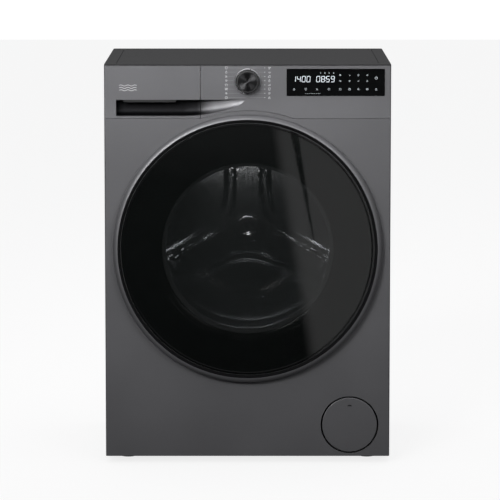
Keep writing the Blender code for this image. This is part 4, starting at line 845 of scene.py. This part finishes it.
def make_display():
    """The gloss black glass with its lit figures and the touch symbols under it."""
    low = GLASS_LOW
    high = GLASS_HIGH
    shape = sheet([rounded(low.x, low.z, high.x, high.z, 0.0018)], FRONT + 0.0002, high.y)
    soften(shape, 0.0005, 2, lambda m: m.y < FRONT + 0.0003, least=1.0)
    add("display_panel", shape, "cabinet", "black_gloss", ["display_glass"])
    y = FRONT + 0.0002
    width = high.x - low.x
    height = high.z - low.z
    shape = bmesh.new()
    figure_width = 0.0066
    figure_height = 0.0118
    base = low.z + 0.52 * height
    for index, digit in enumerate("1400 0859"):
        if digit != " ":
            x = low.x + 0.056 * width + index * 0.0101
            segments(shape, digit, x, base, figure_width, figure_height, y)
    for lift in (0.28, 0.72):
        x = low.x + 0.056 * width + 6.94 * 0.0101
        z = base + lift * figure_height
        stroke(shape, [(x, z - 0.0006), (x, z + 0.0006)], 0.0013, y)
    add("display_figures", shape, "cabinet", "white_plastic", finishes=[DIGIT])

    shape = bmesh.new()
    for index, symbol in enumerate(("drop", "snow", "sun", "lock")):
        draw(shape, symbol, low.x + (0.345 + 0.044 * index) * width, high.z - 0.15 * height, 0.0013, 0.0004, y)
    columns = [0.545, 0.64, 0.73, 0.82]
    for row, symbols in ((0.77, ("waves", "spiral", "clock", "iron")), (0.555, ("tub", "fan", "bars", "drop"))):
        for column, symbol in zip(columns, symbols):
            draw(shape, symbol, low.x + column * width, low.z + row * height, 0.0017, 0.00045, y)
    draw(shape, "power", low.x + 0.912 * width, low.z + 0.665 * height, 0.0030, 0.0006, y)
    bottom = ("drop", "shirt", "leaf", "power", "tub", "clock", "sun", "waves", "lock")
    for column, symbol in zip((0.075, 0.195, 0.31, 0.43, 0.545, 0.64, 0.73, 0.82, 0.912), bottom):
        draw(shape, symbol, low.x + column * width, low.z + 0.25 * height, 0.0023, 0.0005, y)
    for index in range(9):
        x = low.x + (0.19 + 0.018 * index) * width
        stroke(shape, [(x, low.z + 0.09 * height), (x + 0.0016, low.z + 0.09 * height)], 0.0006, y)
    add("display_symbols", shape, "cabinet", "white_plastic", finishes=[SYMBOL])


def make_legends():
    """The printed symbols beside the knob, with a thin rule from each towards it."""
    prints = bmesh.new()
    rules = bmesh.new()
    left = ("shirt", "drop", "leaf", "sun", "tub", "waves", "snow", "clock")
    right = ("fan", "spiral", "iron", "drop", "bars", "shirt", "sun", "lock")
    top = TOP - 0.0045
    pitch = (top - (CREASE + 0.005)) / (len(left) - 1)
    for index in range(len(left)):
        z = top - index * pitch
        y = FRONT + front_face(z)
        draw(prints, left[index], -0.0445, z, 0.0027, 0.0006, y)
        draw(prints, right[index], 0.0455, z, 0.0027, 0.0006, y)
        stroke(prints, [(0.0352, z), (0.0366, z)], 0.0014, y)
        off = z - KNOB.z
        reach = sqrt(max(0.0, 0.0295**2 - off * off)) if abs(off) < 0.0295 else 0.004
        if 0.0325 - reach > 0.001:
            stroke(rules, [(-0.0405, z), (-reach, z)], 0.00035, y)
            stroke(rules, [(reach, z), (0.0335, z)], 0.00035, y)
    waves = bmesh.new()
    for row in range(3):
        z = HANDLE_HIGH + 0.020 + row * 0.0050
        wave = [(-0.268 + 0.0009 * i, z + 0.0012 * sin(i * pi / 8)) for i in range(41)]
        stroke(waves, wave, 0.0009, FRONT + front_face(z))
    add("drawer_symbol", waves, "drawer", "graphite_plastic", finishes=[LEGEND])
    add("fascia_symbols", prints, "cabinet", "graphite_plastic", finishes=[LEGEND])
    add("fascia_rules", rules, "cabinet", "graphite_plastic", finishes=[RULE])


# ---- door


def make_door():
    """The painted ring, the smoked dome with its ground edge, the black surround and the glass bowl."""
    section = 0.0115
    wall = 0.002
    middle = RING_OUTER - section
    pivot = FRONT - 0.013
    angles = [radians(-25 + 140 * i / 36) for i in range(37)]
    outer = [(middle + section * cos(a), pivot - section * sin(a)) for a in angles]
    inner = [(middle + (section - wall) * cos(a), pivot - (section - wall) * sin(a)) for a in angles]
    shape = bmesh.new()
    lip = middle + section * cos(radians(85))
    # painted shade: the ring's inner side, inside the lip and towards the front, takes the near-black painted gap
    # shade in place of paint
    lathe(shape, outer + inner[::-1], DOOR, 192, tagged=lambda r, y: 1 if r < lip and y < pivot - 0.004 else 0)
    add("door_band", shape, "door", "graphite_paint", ["door_ring"], finishes=[FINISH["graphite_paint"], PAINTED_GAP_SHADE])

    crown = COVER_HIGH.y - COVER_LOW.y - 0.003
    apex = COVER_LOW.y
    chamfer = 0.0012
    shape = bmesh.new()
    face = [(COVER_RIM - chamfer) * i / 40 for i in range(41)]
    profile = [(r, apex + crown * (r / COVER_RIM) ** 2) for r in face]
    profile += [(COVER_RIM, apex + crown + 0.0009), (COVER_RIM, apex + crown + 0.003)]
    back = [(COVER_RIM - 0.001) * (1 - i / 30) for i in range(31)]
    profile += [(r, apex + crown * (r / COVER_RIM) ** 2 + 0.003) for r in back]
    rim_end = apex + crown + 0.001
    lathe(
        shape, profile, DOOR, 192, closed=False,
        tagged=lambda r, y: 1 if r > COVER_RIM - chamfer and y < rim_end else 0,
    )
    dome = [FINISH["smoked_cover"], GROUND_EDGE]
    add("door_dome", shape, "door", "smoked_cover", ["door_cover"], sharp=12, finishes=dome)

    shape = bmesh.new()
    radii = [0.196 + (COVER_RIM - 0.0015 - 0.196) * i / 12 for i in range(13)]
    mask = [(r, apex + crown * (r / COVER_RIM) ** 2 + 0.0031) for r in radii]
    mask += [(r, apex + crown * (r / COVER_RIM) ** 2 + 0.0036) for r in reversed(radii)]
    lathe(shape, mask, DOOR, 160)
    add("door_dome_border", shape, "door", "black_gloss")

    rim = BEZEL_HIGH.x
    near = BEZEL_LOW.y
    far = BEZEL_HIGH.y
    opening = 0.180
    profile = [
        (rim, far), (rim, near + 0.0012), (rim - 0.0006, near + 0.0007), (rim - 0.0019, near + 0.0007),
        (rim - 0.0025, near + 0.0012), (rim - 0.0025, FRONT - 0.0095), (rim - 0.0035, FRONT - 0.0085),
        (0.200, FRONT - 0.0085), (0.197, FRONT - 0.0100), (0.195, FRONT - 0.0200), (0.1935, FRONT - 0.0212),
        (0.192, FRONT - 0.0205),
    ]
    turns = [radians(a) for a in (10, 30, 50, 70, 90)]
    profile += [(opening + 0.012 * cos(a), FRONT - 0.0060 - 0.0140 * (1 - sin(a))) for a in turns]
    profile += [(opening, FRONT - 0.0055)]
    shape = turned(profile, DOOR, 160)
    made = add("door_surround", shape, "door", "black_gloss", ["door_frame"])
    notch_low, notch_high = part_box("hinge_leaf")
    notch = bar(
        "notch", (-RING_OUTER, FRONT - 0.05, notch_low.z - 0.0163), (-0.2455, FRONT + 0.02, notch_high.z + 0.0163)
    )
    carved(made, removed=[notch])

    bowl = BOWL_HIGH.x
    thick = 0.004
    near = FRONT - 0.001
    line = [
        (bowl, near), (bowl - 0.009, near), (bowl - 0.0115, near + 0.0015), (bowl - 0.015, near + 0.007),
        (bowl - 0.019, near + 0.018),
    ]
    deep = BOWL_HIGH.y - thick
    for i in range(1, 15):
        turn = radians(90 * i / 14)
        radius = (bowl - 0.019) * (0.30 + 0.70 * cos(turn) ** 0.55) if i < 14 else 0.0
        line.append((radius, near + 0.018 + (deep - near - 0.018) * sin(turn) ** 1.6))
    shape = turned(line, DOOR, 128, closed=False)
    made = add("door_glass", shape, "door", "clear_glass", ["door_bowl"])
    thick_glass = made.modifiers.new("thick", "SOLIDIFY")
    thick_glass.thickness = thick
    thick_glass.offset = 1


# ---- drum, seal and suspension


def drum_back_rise(radius, angle):
    """How far the pressed back of the drum stands forward of its flat: a hub, three arms and an outer step."""
    melt = 0.016
    share = 0.0
    for turn in (90, 210, 330):
        off = angle - radians(turn)
        along = radius * cos(off)
        across = abs(radius * sin(off)) if along > 0 else radius
        share += exp(-across / melt)
    apart = -melt * log(share)
    star = 0.6 * ease((0.032 - apart) / 0.007) + 0.4 * ease((0.050 - apart) / 0.008)
    star *= ease((0.196 - radius) / 0.012)
    step = ease((radius - 0.198) / 0.006)
    hub = 0.007 * ease((0.033 - radius) / 0.005) - 0.003 * ease((0.012 - radius) / 0.004)
    return 0.012 * step * (1 - star) + 0.015 * star + hub


def make_drum():
    """The perforated drum: its turned lip and wall, and the pressed back."""
    wall = 0.0008
    front = DRUM_LOW.y
    back = DRUM_HIGH.y
    line = [(DRUM_MOUTH, front + 0.008), (DRUM_MOUTH, front + 0.003)]
    few = [radians(a) for a in (30, 60, 90)]
    many = [radians(a) for a in range(0, 91, 15)]
    line += [(DRUM_MOUTH + 0.003 - 0.003 * cos(a), front + 0.003 - 0.003 * sin(a)) for a in few]
    line += [(DRUM_RADIUS - 0.016 + 0.016 * sin(a), front + 0.014 * (1 - cos(a))) for a in many]
    line += [(DRUM_RADIUS, back - 0.008)]
    line += [(DRUM_RADIUS - 0.008 + 0.008 * cos(a), back - 0.008 + 0.008 * sin(a)) for a in few]
    offset = []
    for r, y in line:
        if y < front + 0.010 and r < DRUM_RADIUS - 0.010:
            offset.append((r + (wall if r < DRUM_MOUTH + 0.002 else 0), y + (0 if r < DRUM_MOUTH + 0.002 else wall)))
        else:
            offset.append((r - wall, min(y, back - wall)))
    shape = turned(line + offset[::-1], DOOR, 160)
    outer = DRUM_RADIUS - 0.009
    radii = [outer * i / 72 for i in range(73)]
    steps = 192
    for side in (0, wall):
        rings = []
        for radius in radii:
            ring = []
            for i in range(steps):
                angle = 2 * pi * i / steps
                y = back - wall - drum_back_rise(radius, angle) * ease((outer - radius) / 0.012) + side
                ring.append(shape.verts.new((radius * cos(angle), y, DOOR.z + radius * sin(angle))))
            rings.append(ring)
        skin(shape, rings, caps=False)
        bmesh.ops.remove_doubles(shape, verts=rings[0], dist=1e-6)
        if side == 0:
            rim = rings[-1]
    skin(shape, [rim, rings[-1]], caps=False)
    add("drum_basket", shape, "drum", "stainless_steel", ["drum_shell"], finishes=[DRUM])


def make_lifters():
    """Three hollow ribs with a rounded crest and sloping ends."""
    for index, turn in enumerate((90, 210, 330)):
        name = f"lifter_{index + 1}"
        low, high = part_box(name)
        seat = DRUM_RADIUS - 0.0022
        crest = 0.046
        start = low.y
        end = high.y
        shape = bmesh.new()
        rings = []
        stations = [0, 0.02, 0.06, 0.12, 0.2, 0.35, 0.5, 0.65, 0.8, 0.88, 0.94, 0.98, 1]
        for share in stations:
            y = start + (end - start) * share
            height = crest * (0.35 + 0.65 * ease(min(share, 1 - share) / 0.13))
            ring = []
            for i in range(15):
                t = -1 + 2 * i / 14
                width = 0.0265 * t
                lift = height * (1 - abs(t) ** 2.6)
                radius = sqrt(seat * seat - width * width) - lift
                ring.append((width, radius))
            for i in range(5):
                width = 0.0265 * (1 - 2 * (i + 1) / 6)
                ring.append((width, sqrt(seat * seat - width * width) - 0.0002))
            angle = radians(turn - 90)
            verts = []
            for width, radius in ring:
                x = width * cos(angle) - radius * sin(angle)
                z = width * sin(angle) + radius * cos(angle)
                verts.append(shape.verts.new((x, y, DOOR.z + z)))
            rings.append(verts)
        skin(shape, rings)
        add(f"lifter_rib_{index + 1}", shape, "drum", "white_plastic", [name])


def make_gasket():
    """The folded seal, one fixed piece on no body: its lip sits on the front panel and its folds run back towards the
    tub.
    """
    low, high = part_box("gasket")
    wide = PANEL_HOLE - 0.0035
    lip = 0.1725
    neck = 0.1834
    start = low.y
    end = high.y
    line = [
        (lip, start + 0.0075), (lip + 0.004, start + 0.0045), (lip + 0.012, start + 0.0020),
        (wide - 0.006, start + 0.0010), (wide - 0.001, start + 0.0040), (wide, start + 0.0090),
        (wide, start + 0.0155), (wide - 0.004, start + 0.0185), (neck + 0.007, start + 0.0200),
        (neck + 0.003, start + 0.0225), (neck + 0.006, start + 0.0255), (wide - 0.005, start + 0.0270),
        (wide - 0.001, start + 0.0300), (wide - 0.004, start + 0.0335), (neck + 0.004, start + 0.0355),
        (neck + 0.0006, start + 0.0390), (neck + 0.0006, end - 0.0008),
    ]
    points = []
    for i in range(len(line) - 1):
        before = Vector(line[max(i - 1, 0)])
        a = Vector(line[i])
        b = Vector(line[i + 1])
        after = Vector(line[min(i + 2, len(line) - 1)])
        for k in range(4):
            t = k / 4
            square = 2 * before - 5 * a + 4 * b - after
            cube = 3 * a - before - 3 * b + after
            points.append(0.5 * (2 * a + (b - before) * t + square * t * t + cube * t**3))
    points.append(Vector(line[-1]))
    sides = []
    for i in range(len(points)):
        along = (points[min(i + 1, len(points) - 1)] - points[max(i - 1, 0)]).normalized()
        sides.append(Vector((-along.y, along.x)))
    thick = 0.0011
    profile = [tuple(p + s * thick) for p, s in zip(points, sides)]
    profile += [tuple(p - s * thick) for p, s in zip(reversed(points), reversed(sides))]
    shape = turned(profile, DOOR, 144)
    made = add("door_seal", shape, None, "grey_rubber", ["gasket"], sharp=60)
    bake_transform(made)


def make_springs():
    """Coil springs whose turns narrow at both ends, between the side panel's hanger and the tub's lug; each is one
    fixed piece on no body.
    """
    for name in ("spring_left", "spring_right"):
        low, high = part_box(name)
        x = (low.x + high.x) / 2
        y = (low.y + high.y) / 2
        thick = 0.0015
        bottom = low.z + thick + 0.0002
        top = high.z - thick - 0.0002
        turns = 22
        count = turns * 14
        points = []
        for i in range(count + 1):
            angle = 2 * pi * i / 14
            share = i / count
            radius = 0.0105 * min(1, 0.15 + 8 * share, 0.15 + 8 * (1 - share))
            points.append((x + radius * cos(angle), y + radius * sin(angle), bottom + (top - bottom) * share))
        shape = bmesh.new()
        tube(shape, points, thick, 8)
        made = add("coil_" + name, shape, None, "zinc_steel", [name])
        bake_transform(made)


def make_filter_cover():
    """The round access cover, with a rounded edge and its pry notch."""
    shape = bmesh.new()
    radius = FILTER_RADIUS
    near = FILTER_LOW.y
    far = near + 0.0025
    profile = [
        (0, near), (radius - 0.0014, near), (radius - 0.0006, near + 0.0003), (radius, near + 0.0011), (radius, far),
        (radius - 0.0015, far), (0, far),
    ]
    lathe(shape, profile, FILTER, 144, closed=False)
    made = add("filter_lid", shape, "filter_door", "graphite_paint", ["filter_cover"])
    lugs = []
    for side in (-1, 1):
        x = FILTER.x + side * 0.012
        z = FILTER.z - 0.053
        lugs.append(bar("lug", (x - 0.004, far - 0.001, z - 0.004), (x + 0.004, FILTER_HIGH.y, z + 0.004)))
    cutter = bmesh.new()
    top = FILTER.z + radius - 0.0135
    half_round = arc((FILTER.x, 0, 0), 0.0045, 0, 180, 13)
    notch = [(FILTER.x + 1.05 * (x - FILTER.x), top - 0.0045 + 0.62 * z) for x, z in half_round]
    slab(cutter, [notch], near - 0.01, near + 0.0018)
    carved(made, lugs, [helper("notch", cutter)])
    # painted shade: the faces inside the pry notch take the near-black painted gap shade
    made.data.materials.append(PAINTED_GAP_SHADE)
    for face in made.data.polygons:
        off = face.center - Vector((FILTER.x, face.center.y, top - 0.0045))
        if near + 0.0003 < face.center.y < near + 0.0019 and off.length < 0.006:
            face.material_index = 1


# ---- back, underside and small hardware


def screw_head(shape, x, z, y):
    """A low domed head with a cross in it, on a face that looks backwards."""
    radius = 0.0042
    profile = [(0, y + 0.0012), (radius * 0.5, y + 0.0011), (radius * 0.85, y + 0.0007), (radius, y), (0, y)]
    lathe(shape, profile, (x, 0, z), 20, closed=False)
    for wide, tall in ((radius, radius * 0.28), (radius * 0.28, radius)):
        block(shape, (x - wide / 2, y + 0.0009, z - tall / 2), (x + wide / 2, y + 0.00135, z + tall / 2))


def make_back():
    """Screws round the rear panel and its cover, the caps over the transit bolts and the inlet's thread."""
    cover_low, cover_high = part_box("rear_cover")
    middle = (cover_low + cover_high) / 2
    shape = bmesh.new()
    edge = cover_high.x - 0.007
    for index in range(8):
        angle = radians(22.5 + 45 * index)
        screw_head(shape, edge * cos(angle), middle.z + edge * sin(angle), cover_low.y + 0.0012)
    for side in (-1, 1):
        for z in (0.06, 0.24, 0.45, 0.64, 0.80):
            screw_head(shape, side * (SIDE - 0.012), z, REAR)
    for x in (-0.15, 0.0, 0.15):
        screw_head(shape, x, 0.825, REAR)
        screw_head(shape, x, 0.030, REAR)
    add("rear_screws", shape, "cabinet", "zinc_steel")

    shape = bmesh.new()
    for x in (-0.165, 0.165):
        for z in (middle.z - 0.165, middle.z + 0.165):
            profile = [(0, REAR + 0.0022), (0.008, REAR + 0.0022), (0.009, REAR + 0.0034), (0.0150, REAR + 0.0034)]
            profile += [(0.0172, REAR + 0.0026), (0.0178, REAR), (0, REAR)]
            lathe(shape, profile, (x, 0, z), 48, closed=False)
    add("transit_caps", shape, "cabinet", "black_matte")

    low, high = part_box("inlet_valve")
    shape = bmesh.new()
    radius = 0.0130
    turns = 4
    start = REAR + 0.0030
    points = []
    for i in range(turns * 24 + 1):
        angle = 2 * pi * i / 24
        share = i / (turns * 24)
        points.append((
            (low.x + high.x) / 2 + radius * cos(angle),
            start + (high.y - 0.0016 - start) * share,
            (low.z + high.z) / 2 + radius * sin(angle),
        ))
    tube(shape, points, 0.0009, 6)
    add("inlet_thread", shape, "cabinet", "white_plastic")


def make_feet():
    """Each foot: a rubber pad, a hexagon nut and a threaded stud."""
    for row in ("front", "rear"):
        for side in ("left", "right"):
            low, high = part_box(f"foot_{row}_{side}")
            centre = (low + high) / 2
            pad = (high.x - low.x) / 2
            shape = bmesh.new()
            profile = [(0, low.z), (pad - 0.0025, low.z), (pad - 0.0008, low.z + 0.0008), (pad, low.z + 0.0025)]
            profile += [(pad, low.z + 0.0060), (pad - 0.0012, low.z + 0.0078)]
            profile += [(0.0105, low.z + 0.0086), (0, low.z + 0.0086)]
            lathe(shape, profile, centre, 64, axis="Z", closed=False)
            add(f"pad_{row}_{side}", shape, f"{row}_{side}_foot", "grey_rubber", [f"foot_{row}_{side}"])
            shape = bmesh.new()
            nut = [(0.0095 * cos(pi * k / 3), 0.0095 * sin(pi * k / 3)) for k in range(6)]
            slab(shape, [[(centre.x + a, centre.y + b) for a, b in nut]], low.z + 0.0130, low.z + 0.0086, axis="Z")
            soften(shape, 0.0006, 2, lambda m: True)
            stud = 0.0047
            line = [(0, low.z + 0.0088), (stud, low.z + 0.0088)]
            count = int((high.z - 0.001 - low.z - 0.0095) / 0.0016)
            for index in range(count):
                z = low.z + 0.0095 + index * 0.0016
                line += [(stud - 0.0005, z), (stud, z + 0.0008)]
            line += [(stud - 0.0008, high.z - 0.0002), (0, high.z - 0.0002)]
            lathe(shape, line, centre, 32, axis="Z", closed=False)
            add(f"stud_{row}_{side}", shape, f"{row}_{side}_foot", "zinc_steel")


def soften_cad():
    """Small rounded edges on the plain inner parts that show when the door, drawer or flap is open."""
    names = (
        "dispenser_housing", "drawer_tray", "siphon_insert", "counterweight_top", "counterweight_front",
        "control_module", "door_lock", "door_hook", "hinge_bracket", "hinge_leaf", "motor", "pump_housing",
        "base_tray", "inlet_valve", "mains_gland", "drain_outlet", "rear_cover", "filter_cap", "rear_panel",
    )
    for name in names:
        bevel = frame["nodes"][name].modifiers.new("edge", "BEVEL")
        bevel.width = 0.0006
        bevel.segments = 2
        bevel.limit_method = "ANGLE"
        bevel.angle_limit = radians(40)
        bevel.use_clamp_overlap = True
        bevel.harden_normals = True


# ---- stage, light and camera


def stage_plane(name, corners, material):
    mesh = bpy.data.meshes.new(name)
    mesh.from_pydata(corners, [], [tuple(range(len(corners)))])
    mesh.materials.append(material)
    made = bpy.data.objects.new(name, mesh)
    bpy.context.scene.collection.objects.link(made)
    return made


def make_stage():
    """A pale floor that looks white to the camera and fades out when seen from below."""
    made = bpy.data.materials.new("stage_floor")
    tree = emptied(made)
    output = node(tree, "ShaderNodeOutputMaterial")
    pale = node(tree, "ShaderNodeBsdfDiffuse", Color=(0.22, 0.22, 0.22, 1))
    white = node(tree, "ShaderNodeEmission", Strength=0.82)
    blend = node(tree, "ShaderNodeAddShader")
    paths = node(tree, "ShaderNodeLightPath")
    seen = node(tree, "ShaderNodeMixShader")
    under = node(tree, "ShaderNodeMixShader")
    clear = node(tree, "ShaderNodeBsdfTransparent")
    place = node(tree, "ShaderNodeNewGeometry")
    wire((pale, 0, blend, 0), (white, 0, blend, 1))
    wire((paths, "Is Camera Ray", seen, "Fac"), (pale, 0, seen, 1), (blend, 0, seen, 2))
    wire((place, "Backfacing", under, "Fac"), (seen, 0, under, 1), (clear, 0, under, 2))
    wire((under, 0, output, "Surface"))
    size = 14
    floor = stage_plane("floor", [(-size, -size, 0), (size, -size, 0), (size, size, 0), (-size, size, 0)], made)
    floor.visible_glossy = False


def make_world():
    """White behind the machine; for the surfaces, soft light that is strongest above."""
    world = bpy.data.worlds.new("studio")
    bpy.context.scene.world = world
    tree = emptied(world)
    output = node(tree, "ShaderNodeOutputWorld")
    place = node(tree, "ShaderNodeTexCoord")
    parts = node(tree, "ShaderNodeSeparateXYZ")
    ramp = node(tree, "ShaderNodeValToRGB")
    scale = node(tree, "ShaderNodeMapRange", From_Min=-1, From_Max=1)
    stops = ramp.color_ramp.elements
    stops[0].position = 0.30
    stops[0].color = (0.012, 0.012, 0.012, 1)
    stops[1].position = 0.85
    stops[1].color = (0.55, 0.55, 0.56, 1)
    middle = stops.new(0.50)
    middle.color = (0.026, 0.026, 0.027, 1)
    soft = node(tree, "ShaderNodeBackground")
    white = node(tree, "ShaderNodeBackground", Color=(1, 1, 1, 1), Strength=1.15)
    paths = node(tree, "ShaderNodeLightPath")
    mix = node(tree, "ShaderNodeMixShader")
    wire((place, "Generated", parts, 0), (parts, "Z", scale, "Value"), (scale, "Result", ramp, "Fac"))
    wire((ramp, "Color", soft, "Color"), (paths, "Is Camera Ray", mix, "Fac"))
    wire((soft, 0, mix, 1), (white, 0, mix, 2), (mix, 0, output, "Surface"))


def area_light(name, place, target, width, height, power, spread=180):
    light = bpy.data.lights.new(name, "AREA")
    light.shape = "RECTANGLE"
    light.size = width
    light.size_y = height
    light.energy = power
    light.spread = radians(spread)
    made = bpy.data.objects.new(name, light)
    made.location = place
    made.rotation_euler = (Vector(target) - Vector(place)).to_track_quat("-Z", "Y").to_euler()
    bpy.context.scene.collection.objects.link(made)
    return made


def glow_card(name, corners, strength, edge):
    """A softbox that shows only as the door's reflection. edge is (x, z, slope) of its soft left side."""
    made = bpy.data.materials.new(name)
    tree = emptied(made)
    output = node(tree, "ShaderNodeOutputMaterial")
    glow = node(tree, "ShaderNodeEmission")
    place = node(tree, "ShaderNodeTexCoord")
    parts = node(tree, "ShaderNodeSeparateXYZ")
    x, z, slope = edge
    slant = calculate(tree, "MULTIPLY_ADD", parts.outputs["Z"], slope, -x - z * slope)
    reach = calculate(tree, "ADD", parts.outputs["X"], slant)
    fade = node(tree, "ShaderNodeMapRange", interpolation_type="SMOOTHSTEP", From_Max=0.13, To_Max=strength)
    tree.links.new(reach, fade.inputs["Value"])
    wire((place, "Object", parts, 0), (fade, "Result", glow, "Strength"), (glow, 0, output, "Surface"))
    card = stage_plane(name, corners, made)
    card.visible_camera = card.visible_diffuse = card.visible_shadow = card.visible_transmission = False
    only_light(card, [bpy.data.objects["door_dome"]])


def only_light(light, pieces):
    """Keeps a light's effect to these pieces."""
    lit = bpy.data.collections.new(light.name + "_receivers")
    for piece in pieces:
        lit.objects.link(piece)
    light.light_linking.receiver_collection = lit


def make_lights():
    area_light("key", (-1.5, -3.6, 2.3), (-0.1, 0, 1.22), 2.0, 1.6, 11.8, spread=42)
    area_light("fill", (1.7, -3.6, 2.2), (0, 0, 1.18), 2.0, 1.6, 3.8, spread=42)
    area_light("top", (0, 0.1, 3.2), (0, 0, 0.8), 2.2, 2.0, 13)
    place = (-0.02, DRUM_LOW.y + 0.012, DOOR.z + 0.150)
    glow = area_light("drum_glow", place, (0, DRUM_HIGH.y, DOOR.z - 0.03), 0.16, 0.02, 0.42)
    glow.visible_camera = False
    drum = ("drum_basket", "lifter_rib_1", "lifter_rib_2", "lifter_rib_3")
    only_light(glow, [bpy.data.objects[name] for name in drum])
    panels = ("side_panel_left", "side_panel_right", "rear_panel", "rear_cover")
    rear = [frame["nodes"][name] for name in (*panels, "mains_gland", "drain_outlet", "inlet_valve")]
    rear += [bpy.data.objects[name] for name in ("rear_screws", "transit_caps", "inlet_thread")]
    for name, place in (("back", (0.4, 4.2, 2.4)), ("left_side", (-3.8, 0.9, 2.2)), ("right_side", (3.8, 0.9, 2.2))):
        only_light(area_light(name, place, (0, 0, 0.5), 2.4, 2.0, 90), rear)
    y = -3.0
    outline = [(0.125, 1.15), (0.27, 1.15), (0.505, 0.04), (0.335, 1.15), (1.25, 1.15), (1.25, -0.85), (0.46, -0.85)]
    glow_card("softbox", [(x, y, z) for x, z in outline], 0.58, (0.105, 1.15, 0.1675))


def make_camera():
    camera = bpy.data.cameras.new("camera")
    camera.sensor_width = 36
    camera.lens = 238.3
    camera.clip_end = 100
    made = bpy.data.objects.new("camera", camera)
    made.location = (0.005, FRONT - 6.90, 1.332)
    made.rotation_euler = (radians(82.75), 0, 0)
    bpy.context.scene.collection.objects.link(made)
    bpy.context.scene.camera = made


for row in frame["record"]["subparts"]:
    materials = frame["nodes"][row["node"]].data.materials
    materials.clear()
    materials.append(FINISH[row["material_slot"]])

make_front_panel()
make_fascia()
make_drawer_front()
make_worktop()
make_knob()
make_display()
make_legends()
make_door()
make_drum()
make_lifters()
make_gasket()
make_springs()
make_filter_cover()
make_back()
make_feet()
soften_cad()
make_stage()
make_world()
make_lights()
make_camera()
bpy.context.scene.view_settings.view_transform = "Standard"
